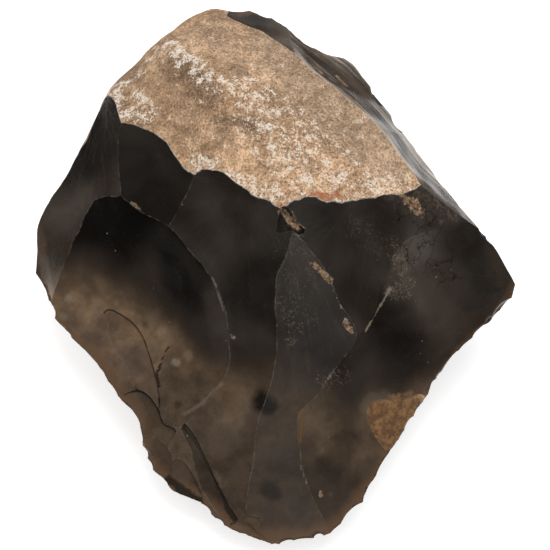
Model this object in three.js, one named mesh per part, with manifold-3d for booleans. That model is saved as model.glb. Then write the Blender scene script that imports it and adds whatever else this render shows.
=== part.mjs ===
// A flint core: one fist-sized nodule with its rind still on the top and the back, and knapped on
// every other side. It is modelled as it was made. A rounded nodule is drawn through landmarks on
// its rind, and each flake scar is then struck off it with a curved cutter that passes through the
// corners of that scar.
// Millimetres, +Z up, front towards -Y. The origin is under the middle of the stone, on the flat
// spot that it rests on.

import * as THREE from 'three';
import { mergeVertices } from 'three/addons/utils/BufferGeometryUtils.js';
import Module from 'manifold-3d';

const wasm = await Module();
wasm.setup();

// Driving dimensions.
const noduleHeart = [0, 1.5, 32]; // the point that the nodule's radii are measured from
const noduleDetail = 20; // splits of each icosahedron edge
const scarStep = 5; // spacing of the points on a scar's surface
const scarMargin = 16; // how far a cutter reaches past the corners of its scar
const cutterDepth = 46; // how far a cutter reaches out of the stone
const scarLift = 0.012; // how fast a cutter lifts off past its corners, per millimetre
const restWidth = 200; // size of the block that levels the resting spot
const restDepth = 20;
const weldGap = 1e-4; // points closer than this are one point

// Corners that neighbouring scars share, named from the front as the stone rests.
const corner = {
  // the edge of the rind, from the left shoulder along the front to the right shoulder
  leftShoulder: [-41, 35.5, 54],
  rindLeft: [-37, 26, 57],
  rindLeftMiddle: [-25, 18.5, 58],
  rindNotch: [-18.5, 11, 58.5],
  rindFront: [-7, 4.5, 60],
  brow: [2, -1.5, 61],
  rindRight: [11.5, 1.5, 60],
  rindRightMiddle: [21.5, 4.5, 57],
  rightShoulderFront: [30.5, 8, 53.5],
  rightShoulder: [35, 11.5, 51],
  // the edge of the rind along the back right
  backEdgeLow: [26.5, 21.5, 57.5],
  backEdgeMiddle: [18, 29, 61.5],
  backEdgeHigh: [9, 36, 63.5],
  backNotch: [0, 45, 65],
  peakNotch: [-10.5, 51, 66],
  // the left face and the rim of the hollow below it
  leftFaceFoot: [-37, 11.5, 46.5],
  hollowCrown: [-25, 2.5, 47],
  leftFaceKnee: [-44, 14.5, 40],
  leftFaceLow: [-51, 5.5, 27],
  leftFaceTip: [-55, -1.5, 18],
  leftEdgeHigh: [-47.5, 28, 42],
  leftEdgeMiddle: [-53, 24, 33],
  leftCorner: [-58, 18.5, 26],
  leftCornerLow: [-59, 13.5, 21],
  leftHeel: [-57, 4, 17],
  hollowRim1: [-19, -4, 45],
  hollowRim2: [-13.5, -10.5, 43],
  hollowRim3: [-11, -17.5, 37.5],
  hollowRim4: [-10.5, -24, 32],
  // the ridges down the middle of the front
  ridgeTop: [4, -4.5, 58],
  leftRidge1: [0.5, -13.5, 49.5],
  leftRidge2: [0, -19, 45],
  leftRidgeFoot: [-1, -32.5, 32],
  rightRidge1: [12.5, -13.5, 48.5],
  rightRidge2: [15.5, -18, 43.5],
  rightRidgeFoot: [19, -21.5, 38.5],
  veinTop: [30, -5, 43],
  slantRidge1: [15.5, -27, 35],
  slantRidge2: [10.5, -33.5, 30],
  slantRidge3: [6, -37.5, 27.5],
  slantRidge4: [6, -42.5, 23.5],
  slantRidgeFoot: [7.5, -49.5, 16.5],
  keel1: [-3.5, -38.5, 27],
  keel2: [-5, -46.5, 20],
  keelFoot: [-7, -55.5, 10.5],
  lowRidge1: [-21, -36.5, 21],
  lowRidge2: [-17.5, -41.5, 18],
  lowRidge3: [-13, -49.5, 12.5],
  lowRidgeFoot: [-7, -59, 7.5],
  // the rim, where the top scars meet the underside, from the left round the front to the right
  rimLeft1: [-53.5, -4.5, 17],
  rimLeft2: [-48, -12.5, 16.5],
  rimLeft3: [-43.5, -17, 16],
  rimLeft4: [-38, -24, 15],
  rimLeft5: [-33, -31, 13.5],
  rimLeft6: [-31, -40, 11],
  rimLeft7: [-24, -48.5, 9],
  rimLeft8: [-12, -56, 7.5],
  rimFront: [-0.5, -61, 7],
  rimRight1: [13.5, -59, 8],
  rimRight2: [21, -51, 10],
  rimRight3: [27.5, -37, 13],
  rimRight4: [38, -23.5, 16],
  rimRight5: [46, -13.6, 19],
  rightTipLow: [56.5, -3.5, 23],
  rightTip: [58.5, 0, 25],
  rightTipHigh: [52, 7, 33],
  rightTipTop: [49, 8.5, 36],
  // the edge along the back right
  backCrown: [-4.5, 54.2, 63],
  backShelf: [1, 53, 60.8],
  backEdge1: [7.5, 48.5, 57],
  backEdge2: [17.5, 45, 55],
  backEdge3: [25.5, 36, 51],
  backEdge4: [33.5, 26.5, 46],
  backEdge5: [42.5, 17.5, 40],
  // the foot of the back right side
  backFoot1: [6, 51.5, 16],
  backFoot2: [27, 38.5, 12],
  backFoot3: [43, 20.5, 14],
  backFoot4: [53, 8.5, 19],
  // where the scars underneath die out round the resting spot
  restFront: [-1, -15.5, 1.5],
  restLeft: [-22, -3.5, 2],
  restRight: [15, -3.5, 2],
  restBack: [12, 23.5, 2],
  // two scars low on the back, with rind all round them
  heelTop: [-41, 45, 35],
  heelLeft: [-50.5, 32.5, 29],
  heelLow: [-50, 27.5, 14],
  heelFoot: [-36, 40.5, 8],
  heelBack: [-30, 49.5, 14],
  heelRight: [-29, 54, 28],
  spurTop: [-14, 61.5, 37],
  spurLeft: [-25, 56.5, 26],
  spurLow: [-19, 51.5, 9],
  spurFoot: [-2, 51.5, 8],
  spurRight: [5, 54.5, 27],
};

// The nodule's surface, as it was before knapping: the rind that is left, the rind under and
// behind the stone, and how far the missing flint once reached.
const noduleLandmarks = [
  corner.leftShoulder, corner.rindLeft, corner.rindLeftMiddle, corner.rindNotch, corner.rindFront,
  corner.brow, corner.rindRight, corner.rindRightMiddle, corner.rightShoulderFront,
  corner.rightShoulder, corner.backEdgeLow, corner.backEdgeMiddle, corner.backEdgeHigh,
  corner.backNotch, corner.peakNotch, corner.leftEdgeHigh, corner.leftEdgeMiddle,
  corner.leftCorner, corner.leftCornerLow,
  [-14, 53.5, 66], [-22, 49.5, 65], [-28, 46.5, 63], [-35, 39, 58], // the back brow of the rind
  [-18, 32.5, 69], [-5, 27.5, 69], [3.5, 12.5, 65], // the crest along the rind
  [-14, 58, 50], [-29, 51, 46], [-42, 39.5, 41], [-13, 60, 28], [-30, 52, 24], [-45, 40.5, 24],
  [-8, 52.5, 12], [-28, 43.5, 11], [-46, 29.5, 13], // the back, down to the foot
  [-4, 8.5, -3.2], [-26, 24.5, 5], [-26, -1.5, 4], [16, -1.5, 4], [15, 24.5, 5],
  [-4, -14.5, 2.5], [0, -49.5, -4], [50, 6.5, 2], // underneath
  [0, -77.5, 20], [-45, -53.5, 20], [50, -51.5, 22], [-68, -11.5, 26], [72, -1.5, 30],
  [46, 42.5, 34], // how far the sides once reached
  [16, -37.5, 55], [-14, -3.5, 55], [-22, -19.5, 47], [-44, -25.5, 38], [48, -15.5, 48], // and the top
];

// Each scar: the corners round it, and how far its middle is hollowed below them.
const scars = {
  shoulderScar: {
    round: ['rindLeft', 'rindLeftMiddle', 'rindNotch', 'hollowCrown', 'leftFaceFoot'],
    hollow: 0.6,
  },
  longScar: {
    round: ['rindNotch', 'rindFront', 'brow', 'ridgeTop', 'leftRidge1', 'leftRidge2', 'leftRidgeFoot',
      'keel1', 'keel2', 'keelFoot', 'lowRidgeFoot', 'lowRidge3', 'lowRidge2', 'lowRidge1',
      'hollowRim4', 'hollowRim3', 'hollowRim2', 'hollowRim1', 'hollowCrown'],
    hollow: 0.5,
  },
  leftFace: {
    round: ['leftShoulder', 'rindLeft', 'leftFaceFoot', 'leftFaceKnee', 'leftFaceLow', 'leftFaceTip',
      'leftHeel', 'leftCornerLow', 'leftCorner', 'leftEdgeMiddle', 'leftEdgeHigh'],
    hollow: 0.6,
  },
  hollow: {
    round: ['leftFaceFoot', 'hollowCrown', 'hollowRim1', 'hollowRim2', 'hollowRim3', 'hollowRim4',
      'lowRidge1', 'rimLeft5', 'rimLeft4', 'rimLeft3', 'rimLeft2', 'rimLeft1', 'leftFaceTip',
      'leftFaceLow', 'leftFaceKnee'],
    hollow: 6,
  },
  wedgeScar: {
    round: ['ridgeTop', 'rightRidge1', 'rightRidge2', 'rightRidgeFoot', 'slantRidge1', 'slantRidge2',
      'slantRidge3', 'slantRidge4', 'slantRidgeFoot', 'rimRight1', 'rimFront', 'keelFoot', 'keel2',
      'keel1', 'leftRidgeFoot', 'leftRidge2', 'leftRidge1'],
    hollow: 0.4,
  },
  rightFace: {
    round: ['brow', 'rindRight', 'rindRightMiddle', 'rightShoulderFront', 'rightShoulder',
      'rightTipTop', 'veinTop', 'rightRidgeFoot', 'rightRidge2', 'rightRidge1', 'ridgeTop'],
    hollow: 0,
  },
  rightLowScar: {
    round: ['veinTop', 'rightTipTop', 'rightTipHigh', 'rightTip', 'rightTipLow', 'rimRight5',
      'rimRight4', 'rimRight3', 'rimRight2', 'rimRight1', 'slantRidgeFoot', 'slantRidge4',
      'slantRidge3', 'slantRidge2', 'slantRidge1', 'rightRidgeFoot'],
    hollow: 0,
  },
  leftLowScar: {
    round: ['lowRidge1', 'lowRidge2', 'lowRidge3', 'lowRidgeFoot', 'rimLeft8', 'rimLeft7',
      'rimLeft6', 'rimLeft5'],
    hollow: 0.6,
  },
  peakChip: { round: ['peakNotch', 'backNotch', 'backEdge1', 'backShelf', 'backCrown'], hollow: 0.3 },
  backStrip: {
    round: ['backNotch', 'backEdgeHigh', 'backEdgeMiddle', 'backEdgeLow', 'backEdge4', 'backEdge3',
      'backEdge2', 'backEdge1'],
    hollow: 0,
  },
  backStripLow: {
    round: ['backEdgeLow', 'rightShoulder', 'rightTipTop', 'backEdge5', 'backEdge4'],
    hollow: 0,
  },
  backWall: {
    round: ['backCrown', 'backShelf', 'backEdge1', 'backEdge2', 'backEdge3', 'backFoot2', 'backFoot1'],
    hollow: 1,
  },
  backWallRight: {
    round: ['backEdge3', 'backEdge4', 'backEdge5', 'backFoot4', 'backFoot3', 'backFoot2'],
    hollow: 1,
  },
  behindTip: {
    round: ['backEdge5', 'rightTipTop', 'rightTipHigh', 'rightTip', 'backFoot4'],
    hollow: 0.2,
  },
  underFront: {
    round: ['rimLeft7', 'rimLeft8', 'rimFront', 'rimRight1', 'rimRight2', 'rimRight3', 'restFront'],
    hollow: 0.5,
  },
  underLeft: {
    round: ['leftHeel', 'rimLeft1', 'rimLeft2', 'rimLeft3', 'rimLeft4', 'rimLeft5', 'rimLeft6',
      'rimLeft7', 'restFront', 'restLeft'],
    hollow: 1,
  },
  underRight: {
    round: ['rimRight3', 'rimRight4', 'rimRight5', 'rightTipLow', 'rightTip', 'backFoot4',
      'restRight', 'restFront'],
    hollow: 1,
  },
  underBack: {
    round: ['backFoot4', 'backFoot3', 'backFoot2', 'backFoot1', 'restBack', 'restRight'],
    hollow: 1,
  },
  heelScar: {
    round: ['heelTop', 'heelLeft', 'heelLow', 'heelFoot', 'heelBack', 'heelRight'],
    hollow: 1.2,
  },
  spurScar: { round: ['spurTop', 'spurLeft', 'spurLow', 'spurFoot', 'spurRight'], hollow: 1 },
};

// Solves the square system rows * x = right by elimination with pivots.
function solve(rows, right) {
  const n = right.length;
  const a = rows.map((row, i) => [...row, right[i]]);
  for (let k = 0; k < n; k++) {
    let pivot = k;
    for (let i = k + 1; i < n; i++) if (Math.abs(a[i][k]) > Math.abs(a[pivot][k])) pivot = i;
    [a[k], a[pivot]] = [a[pivot], a[k]];
    for (let i = k + 1; i < n; i++) {
      const factor = a[i][k] / a[k][k];
      for (let j = k; j <= n; j++) a[i][j] -= factor * a[k][j];
    }
  }
  const x = new Array(n).fill(0);
  for (let k = n - 1; k >= 0; k--) {
    let sum = a[k][n];
    for (let j = k + 1; j < n; j++) sum -= a[k][j] * x[j];
    x[k] = sum / a[k][k];
  }
  return x;
}

// A smooth function through values at points. bend is its kernel of distance, and a flat slope is
// added, so that it runs on evenly past the points.
function smoothThrough(points, values, bend) {
  const width = points[0].length + 1;
  const flat = (p) => [1, ...p];
  const distance = (p, q) => Math.hypot(...p.map((c, i) => c - q[i]));
  const rows = points.map((p) => [...points.map((q) => bend(distance(p, q))), ...flat(p)]);
  for (let k = 0; k < width; k++) {
    rows.push([...points.map((p) => flat(p)[k]), ...new Array(width).fill(0)]);
  }
  const weights = solve(rows, [...values, ...new Array(width).fill(0)]);
  return (p) => {
    const terms = [...points.map((q) => bend(distance(p, q))), ...flat(p)];
    return terms.reduce((sum, term, i) => sum + term * weights[i], 0);
  };
}

// A closed solid from a three.js geometry, for cutting.
function toSolid(geometry) {
  geometry.deleteAttribute('normal');
  geometry.deleteAttribute('uv');
  const merged = mergeVertices(geometry, weldGap);
  return new wasm.Manifold(new wasm.Mesh({
    numProp: 3,
    vertProperties: new Float32Array(merged.attributes.position.array),
    triVerts: new Uint32Array(merged.index.array),
  }));
}

// The whole nodule: a ball whose radius is drawn through the landmarks.
function nodule() {
  const heart = new THREE.Vector3(...noduleHeart);
  const arms = noduleLandmarks.map((p) => new THREE.Vector3(...p).sub(heart));
  const directions = arms.map((arm) => arm.clone().normalize().toArray());
  const radius = smoothThrough(directions, arms.map((arm) => arm.length()), (d) => d ** 3);
  const ball = new THREE.IcosahedronGeometry(1, noduleDetail);
  const place = ball.attributes.position;
  const v = new THREE.Vector3();
  for (let i = 0; i < place.count; i++) {
    v.fromBufferAttribute(place, i).normalize();
    v.multiplyScalar(radius(v.toArray())).add(heart);
    place.setXYZ(i, v.x, v.y, v.z);
  }
  return toSolid(ball);
}

// How far a point lies outside a polygon, both in the plane of a scar.
function outsideBy(u, v, polygon) {
  let inside = false;
  let nearest = Infinity;
  polygon.forEach(([ax, ay], i) => {
    const [bx, by] = polygon[(i + 1) % polygon.length];
    const along = ((u - ax) * (bx - ax) + (v - ay) * (by - ay)) / ((bx - ax) ** 2 + (by - ay) ** 2);
    const t = Math.min(1, Math.max(0, along));
    nearest = Math.min(nearest, Math.hypot(u - ax - t * (bx - ax), v - ay - t * (by - ay)));
    if (ay > v !== by > v && u < ax + ((v - ay) * (bx - ax)) / (by - ay)) inside = !inside;
  });
  return inside ? 0 : nearest;
}

// The kernel of a thin bent plate.
function plate(distance) {
  return distance > 0 ? distance * distance * Math.log(distance) : 0;
}

// The plane of a scar: its middle, with the third axis pointing out of the stone.
function scarPlane(points) {
  const middle = points.reduce((sum, p) => sum.add(p), new THREE.Vector3()).divideScalar(points.length);
  const outward = new THREE.Vector3();
  points.forEach((p, i) => {
    const next = points[(i + 1) % points.length].clone().sub(middle);
    outward.add(p.clone().sub(middle).cross(next));
  });
  outward.normalize();
  if (outward.dot(middle.clone().sub(new THREE.Vector3(...noduleHeart))) < 0) outward.negate();
  const upright = Math.abs(outward.z) < 0.9 ? new THREE.Vector3(0, 0, 1) : new THREE.Vector3(0, 1, 0);
  const across = upright.cross(outward).normalize();
  const along = outward.clone().cross(across);
  return new THREE.Matrix4().makeBasis(across, along, outward).setPosition(middle);
}

// The cutter of one scar: a block over the scar, whose underside is the scar's own surface.
function cutter({ round, hollow }) {
  const points = round.map((name) => new THREE.Vector3(...corner[name]));
  const plane = scarPlane(points);
  const local = points.map((p) => p.clone().applyMatrix4(plane.clone().invert()));
  const outline = local.map((p) => [p.x, p.y]);
  const heights = local.map((p) => p.z);
  const middleHeight = smoothThrough(outline, heights, plate)([0, 0]) - hollow;
  const surface = smoothThrough([...outline, [0, 0]], [...heights, middleHeight], plate);

  const width = 2 * (Math.max(...outline.map(([u]) => Math.abs(u))) + scarMargin);
  const length = 2 * (Math.max(...outline.map(([, v]) => Math.abs(v))) + scarMargin);
  const block = new THREE.BoxGeometry(width, length, cutterDepth,
    Math.ceil(width / scarStep), Math.ceil(length / scarStep), 1);
  block.translate(0, 0, cutterDepth / 2);
  const place = block.attributes.position;
  for (let i = 0; i < place.count; i++) {
    if (place.getZ(i) < cutterDepth / 2) {
      const [u, v] = [place.getX(i), place.getY(i)];
      place.setZ(i, surface([u, v]) + scarLift * outsideBy(u, v, outline) ** 2);
    }
  }
  return toSolid(block.applyMatrix4(plane));
}

// The block under the stone that leaves the flat resting spot.
function restBlock() {
  const block = new THREE.BoxGeometry(restWidth, restWidth, restDepth);
  block.translate(0, 0, -restDepth / 2);
  return toSolid(block);
}

function flintCore() {
  let stone = nodule();
  for (const scar of Object.values(scars)) stone = stone.subtract(cutter(scar));
  stone = stone.subtract(restBlock());
  const mesh = stone.getMesh();
  const geometry = new THREE.BufferGeometry();
  geometry.setAttribute('position', new THREE.BufferAttribute(new Float32Array(mesh.vertProperties), 3));
  geometry.setIndex(new THREE.BufferAttribute(new Uint32Array(mesh.triVerts), 1));
  geometry.computeVertexNormals();
  const material = new THREE.MeshStandardMaterial({ color: 0x4a443d, roughness: 0.32, metalness: 0 });
  const core = new THREE.Mesh(geometry, material);
  core.name = 'flint_core';
  return core;
}

const model = new THREE.Group();
model.add(flintCore());

export default model;
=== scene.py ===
# A flint core: one fist-sized nodule with its rind left on the top and the back, knapped all round.
# Places are millimetres in the stone's own frame, +Z up and the front towards -Y. The frame's box
# gives the size of that millimetre. The stone is made as the real one was: a nodule is drawn,
# flake scars are struck off it, then small chips off its edges, and then it is coloured.

import math
import random
from functools import partial

import bmesh
import bpy
import numpy as np
from mathutils import Matrix, Vector, noise
from mathutils.bvhtree import BVHTree
from mathutils.kdtree import KDTree


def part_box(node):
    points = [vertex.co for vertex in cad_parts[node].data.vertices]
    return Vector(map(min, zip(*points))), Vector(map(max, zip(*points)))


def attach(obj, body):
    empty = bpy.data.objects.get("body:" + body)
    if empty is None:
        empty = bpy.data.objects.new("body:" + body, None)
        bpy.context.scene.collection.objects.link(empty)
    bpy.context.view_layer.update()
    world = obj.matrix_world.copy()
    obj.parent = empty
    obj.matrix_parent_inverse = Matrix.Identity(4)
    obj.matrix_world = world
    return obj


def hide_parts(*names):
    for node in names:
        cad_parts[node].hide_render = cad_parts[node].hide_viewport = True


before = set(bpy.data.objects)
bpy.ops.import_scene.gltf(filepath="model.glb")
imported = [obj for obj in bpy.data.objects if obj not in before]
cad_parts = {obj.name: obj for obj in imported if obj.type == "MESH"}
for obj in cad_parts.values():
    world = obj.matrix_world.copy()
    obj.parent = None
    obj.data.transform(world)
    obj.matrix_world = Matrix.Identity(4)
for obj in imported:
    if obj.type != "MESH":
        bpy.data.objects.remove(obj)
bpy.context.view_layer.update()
stoneLow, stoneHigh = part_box("flint_core")

stoneWidth = 118.06  # the knapped stone across, left to right
mm = (stoneHigh.x - stoneLow.x) / stoneWidth
print("frame loaded, one stone millimetre is", round(mm, 6), "m")

scarShape = {
    "fine": {"step": 0.54, "ripple": 0.05},  # spacing of the points, and height of the ripples
    "coarse": {"step": 1.1, "ripple": 0.07},  # the same on the scars behind and underneath
    "margin": 16,  # how far a cutter reaches past the corners of its scar
    "depth": 46,  # how far it reaches out of the stone
    "lift": 0.02,  # how fast it lifts off past its corners
    "waves": ((22.0, 0.24), (8.0, 0.10), (2.6, 0.028)),  # size and height of the unevenness
    "detailed": 4,  # how far past its corners a scar still has waves and ripples
    "rippleLength": 1.1,  # from one ripple to the next, divided by a full turn
    "rippleWander": ((14.0, 1.8),),  # how they stray from true circles
    "rippleSeed": 40,  # added to a scar's number, for that straying
    "rippleFade": 45,  # how far from the blow they fade
}

# Corners that neighbouring scars share.
corner = {
    # the edge of the rind, from the left shoulder along the front to the right shoulder
    "leftShoulder": (-41, 35.5, 54),
    "rindLeft": (-37, 26, 57),
    "rindLeftMiddle": (-25, 18.5, 58),
    "rindNotch": (-18.5, 11, 58.5),
    "rindFront": (-7, 4.5, 60),
    "brow": (2, -1.5, 61),
    "rindRight": (11.5, 1.5, 60),
    "rindRightMiddle": (21.5, 4.5, 57),
    "rightShoulderFront": (30.5, 8, 53.5),
    "rightShoulder": (35, 11.5, 51),
    # the edge of the rind along the back right
    "backEdgeLow": (26.5, 21.5, 57.5),
    "backEdgeMiddle": (18, 29, 61.5),
    "backEdgeHigh": (9, 36, 63.5),
    "backNotch": (4.3, 41.5, 64.3),
    "peakEdge": (-3.1, 46.7, 65.3),
    "peakNotch": (-10.7, 51.8, 64.8),
    "peakStart": (-10.8, 51.8, 64.5),
    "peakBehind": (-10.6, 54.5, 63.7),
    # the left face and the top of the hollow below it
    "leftFaceFoot": (-37, 11.5, 46.5),
    "hollowCrown": (-25, 2.5, 47),
    "leftFaceKnee": (-44, 14.5, 40),
    "leftFaceLow": (-51, 5.5, 27),
    "leftFaceTip": (-55, -1.5, 18),
    "leftEdgeHigh": (-47.8, 27.6, 42),
    "leftEdgeMiddle": (-52.9, 23.7, 33),
    "leftCorner": (-58.3, 17.9, 25.5),
    "leftCornerLow": (-59, 13.5, 21),
    "leftHeel": (-57, 4, 17),
    # where the ridges down the front start and end
    "ridgeTop": (4, -4.5, 58),
    "leftRidgeFoot": (-1, -32.5, 32),
    "rightRidgeFoot": (19, -21.5, 38.5),
    "veinTop": (30, -5, 43),
    "slantRidgeFoot": (7.5, -49.5, 16.5),
    "keelFoot": (-7, -55.5, 10.5),
    "lowRidgeFoot": (-7, -59, 7.5),
    # the middle of the front rim, and the right tip
    "rimFront": (-0.6, -61.7, 7),
    "rightTipLow": (57, -4.1, 23),
    "rightTip": (58.5, 0, 25),
    "rightTipHigh": (52.3, 7.2, 33),
    "rightTipTop": (49.6, 9, 36),
    # the peak behind the rind
    "peakCrown": (-7, 54, 63.5),
    "backCrown": (-4.9, 54.9, 63.2),
    "backShelf": (0.8, 53, 60.6),
    "backRidge": (3.2, 52.5, 59.5),
    # where the scars underneath die out round the resting spot
    "restFront": (-1, -15.5, 1.5),
    "restLeft": (-22, -3.5, 2),
    "restRight": (15, -3.5, 2),
    "restBack": (12, 23.5, 2),
    # the scars low on the back, with rind all round them
    "heelTop": (-41, 45, 35),
    "heelLeft": (-50.5, 32.5, 29),
    "heelLow": (-50, 27.5, 14),
    "heelFoot": (-36, 40.5, 8),
    "heelBack": (-30, 49.5, 14),
    "heelRight": (-29, 54, 28),
    "heelRidgeLeft": (-46.5, 36.5, 33.5),
    "heelUpperLeft": (-41, 41, 43),
    "heelUpperTop": (-31.5, 49.8, 45.5),
    "heelUpperRight": (-23, 55.8, 38),
    "heelRidgeRight": (-25, 55, 25.5),
    "spurTop": (-14, 61.5, 37),
    "spurLeft": (-25, 56.5, 26),
    "spurLow": (-19, 51.5, 9),
    "spurFoot": (-2, 51.5, 8),
    "spurRight": (5, 54.5, 27),
}

# Edges with a numbered row of corners: keel1 is the first of "keel".
edges = {
    "hollowRim": [(-19, -4, 45), (-13.5, -10.5, 43), (-11, -17.5, 37.5), (-10.5, -24, 32)],
    "leftRidge": [(0.5, -13.5, 49.5), (0, -19, 45)],  # the ridges down the front
    "rightRidge": [(12.5, -13.5, 48.5), (15.5, -18, 43.5)],
    "slantRidge": [(15.5, -27, 35), (10.5, -33.5, 30), (6, -37.5, 27.5), (6, -42.5, 23.5)],
    "keel": [(-3.5, -38.5, 27), (-5, -46.5, 20)],
    "lowRidge": [(-21, -36.5, 21), (-17.5, -41.5, 18), (-13, -49.5, 12.5)],
    "rimLeft": [  # the rim, where the top scars meet the underside
        (-54.1, -4.9, 17), (-47.9, -12.3, 16.5), (-43.5, -17, 16), (-38.8, -24.7, 15),
        (-33.7, -31.4, 13.5), (-31.8, -40.2, 11), (-24.2, -48.9, 9), (-17.1, -52.2, 8.4),
        (-11.7, -57, 7.3),
    ],
    "rimRight": [
        (13.7, -59.3, 8), (21.2, -51.3, 10), (28.9, -37.9, 13), (38.2, -23.7, 16), (46.2, -13.8, 19),
    ],
    "backEdge": [  # the edge along the back right, and the foot of the wall under it
        (8.4, 48.6, 57), (17.7, 45.3, 55), (25.5, 36, 51), (33.5, 26.5, 46), (42.1, 17.1, 40),
    ],
    "backFoot": [(6, 51.5, 16), (27, 38.5, 12), (43, 20.5, 14), (53, 8.5, 19)],
}
for name, row in edges.items():
    corner.update({name + str(k): place for k, place in enumerate(row, 1)})


def places(names):
    # the corners named: rimLeft2-5 stands for rimLeft2 to rimLeft5, and 5-2 for the same backwards
    found = []
    for name in names.split():
        first, dash, last = name.partition("-")
        if dash:
            row, first, last = first[:-1], int(first[-1]), int(last)
            way = 1 if last > first else -1
            found += [corner[row + str(k)] for k in range(first, last + way, way)]
        else:
            found.append(corner[name])
    return found


# The nodule before knapping: the rind that is left, the rind behind and underneath, and how far
# the flint that is gone once reached.
noduleLandmarks = places(
    "leftShoulder rindLeft rindLeftMiddle rindNotch rindFront brow rindRight rindRightMiddle"
    " rightShoulderFront rightShoulder backEdgeLow backEdgeMiddle backEdgeHigh backNotch peakEdge"
    " peakNotch leftEdgeHigh leftEdgeMiddle leftCorner leftCornerLow"
) + [
    # the back brow of the rind
    (-14, 52.8, 65.3), (-22, 48.9, 64.3), (-28, 46, 62.5), (-35, 38.8, 57.8), (-44.2, 31.4, 48),
    # the crest along the rind
    (-18, 32.5, 69), (-5, 27.5, 69), (3.5, 12.5, 65),
    # the back, down to the foot
    (-14, 58, 50), (-29, 51, 46), (-42, 39.5, 41), (-13, 60, 28), (-30, 52, 24), (-45, 40.5, 24),
    (-8, 52.5, 12), (-28, 43.5, 11), (-46, 29.5, 13),
    # underneath
    (-4, 8.5, -3.2), (-26, 24.5, 5), (-26, -1.5, 4), (16, -1.5, 4), (15, 24.5, 5),
    (-4, -14.5, 2.5), (0, -49.5, -4), (50, 6.5, 2),
    # how far the sides, the back and the front once reached
    (0, -77.5, 20), (-45, -53.5, 20), (50, -51.5, 22), (-68, -11.5, 26), (72, -1.5, 30),
    (46, 42.5, 34), (-6.5, 54.6, 64.4), (0, 59.5, 61), (13, 54.5, 59), (25, 46, 55),
    (16, -37.5, 55), (-14, -3.5, 55), (-22, -19.5, 47), (-44, -25.5, 38), (48, -15.5, 48),
]

# Each scar: the corners round it, how far its middle is hollowed, and where it was struck. A few
# have their own height of ripples, or lift off faster than the rest past their corners.
scars = {
    "shoulderScar": {
        "round": "rindLeft rindLeftMiddle rindNotch hollowCrown leftFaceFoot",
        "hollow": 0.6, "struck": "rindNotch", "ripple": 0.02, "lift": 0.09,
    },
    "longScar": {
        "round": "rindNotch rindFront brow ridgeTop leftRidge1-2 leftRidgeFoot keel1-2 keelFoot"
                 " lowRidgeFoot lowRidge3-1 hollowRim4-1 hollowCrown",
        "hollow": 0.5, "struck": "rindFront", "lift": 0.09,
    },
    "leftFace": {
        "round": "leftShoulder rindLeft leftFaceFoot leftFaceKnee leftFaceLow leftFaceTip leftHeel"
                 " leftCornerLow leftCorner leftEdgeMiddle leftEdgeHigh",
        "hollow": 0.6, "struck": "leftShoulder",
    },
    "hollow": {
        "round": "leftFaceFoot hollowCrown hollowRim1-4 lowRidge1 rimLeft5-1 leftFaceTip leftFaceLow"
                 " leftFaceKnee",
        "hollow": 6, "struck": "leftFaceKnee",
    },
    "wedgeScar": {
        "round": "ridgeTop rightRidge1-2 rightRidgeFoot slantRidge1-4 slantRidgeFoot rimRight1"
                 " rimFront keelFoot keel2-1 leftRidgeFoot leftRidge2-1",
        "hollow": 0.4, "struck": "ridgeTop", "ripple": 0.06,
    },
    "rightFace": {
        "round": "brow rindRight rindRightMiddle rightShoulderFront rightShoulder rightTipTop veinTop"
                 " rightRidgeFoot rightRidge2-1 ridgeTop",
        "hollow": 0, "struck": "rindRightMiddle",
    },
    "rightLowScar": {
        "round": "veinTop rightTipTop rightTipHigh rightTip rightTipLow rimRight5-1 slantRidgeFoot"
                 " slantRidge4-1 rightRidgeFoot",
        "hollow": 0, "struck": "rightTip",
    },
    "leftLowScar": {
        "round": "lowRidge1-3 lowRidgeFoot rimLeft9-5",
        "hollow": 0.6, "struck": "rimLeft6", "ripple": 0.04,
    },
    "peakChip": {
        "round": "peakStart peakEdge backNotch backRidge backShelf backCrown peakCrown peakBehind",
        "hollow": 0.5, "struck": "backCrown", "lift": 0.25,
    },
    "backStrip": {
        "round": "backNotch backEdgeHigh backEdgeMiddle backEdgeLow backEdge4-1 backRidge",
        "hollow": 0.4, "struck": "backEdge2", "ripple": 0.1,
    },
    "backStripLow": {
        "round": "backEdgeLow rightShoulder rightTipTop backEdge5-4",
        "hollow": 0, "struck": "backEdge5", "ripple": 0.06,
    },
    "backWall": {
        "round": "peakCrown backCrown backShelf backRidge backEdge1-3 backFoot2-1",
        "hollow": 1, "struck": "backEdge2", "coarse": True,
    },
    "backWallRight": {
        "round": "backEdge3-5 backFoot4-2",
        "hollow": 1, "struck": "backEdge4", "coarse": True,
    },
    "behindTip": {
        "round": "backEdge5 rightTipTop rightTipHigh rightTip backFoot4",
        "hollow": 0.2, "struck": "rightTip",
    },
    "underFront": {
        "round": "rimLeft7-9 rimFront rimRight1-3 restFront",
        "hollow": 0.5, "struck": "rimFront", "coarse": True,
    },
    "underLeft": {
        "round": "leftHeel rimLeft1-7 restFront restLeft",
        "hollow": 1, "struck": "rimLeft3", "coarse": True,
    },
    "underRight": {
        "round": "rimRight3-5 rightTipLow rightTip backFoot4 restRight restFront",
        "hollow": 1, "struck": "rimRight4", "coarse": True,
    },
    "underBack": {
        "round": "backFoot4-1 restBack restRight",
        "hollow": 1, "struck": "backFoot3", "coarse": True,
    },
    "heelScar": {
        "round": "heelTop heelLeft heelLow heelFoot heelBack heelRight",
        "hollow": 1.2, "struck": "heelTop", "coarse": True,
    },
    "spurScar": {
        "round": "spurTop spurLeft spurLow spurFoot spurRight",
        "hollow": 1, "struck": "spurTop", "coarse": True,
    },
    "heelUpper": {
        "round": "heelRidgeLeft heelUpperLeft heelUpperTop heelUpperRight heelRidgeRight",
        "hollow": 1, "struck": "heelUpperTop", "coarse": True,
    },
}


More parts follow.
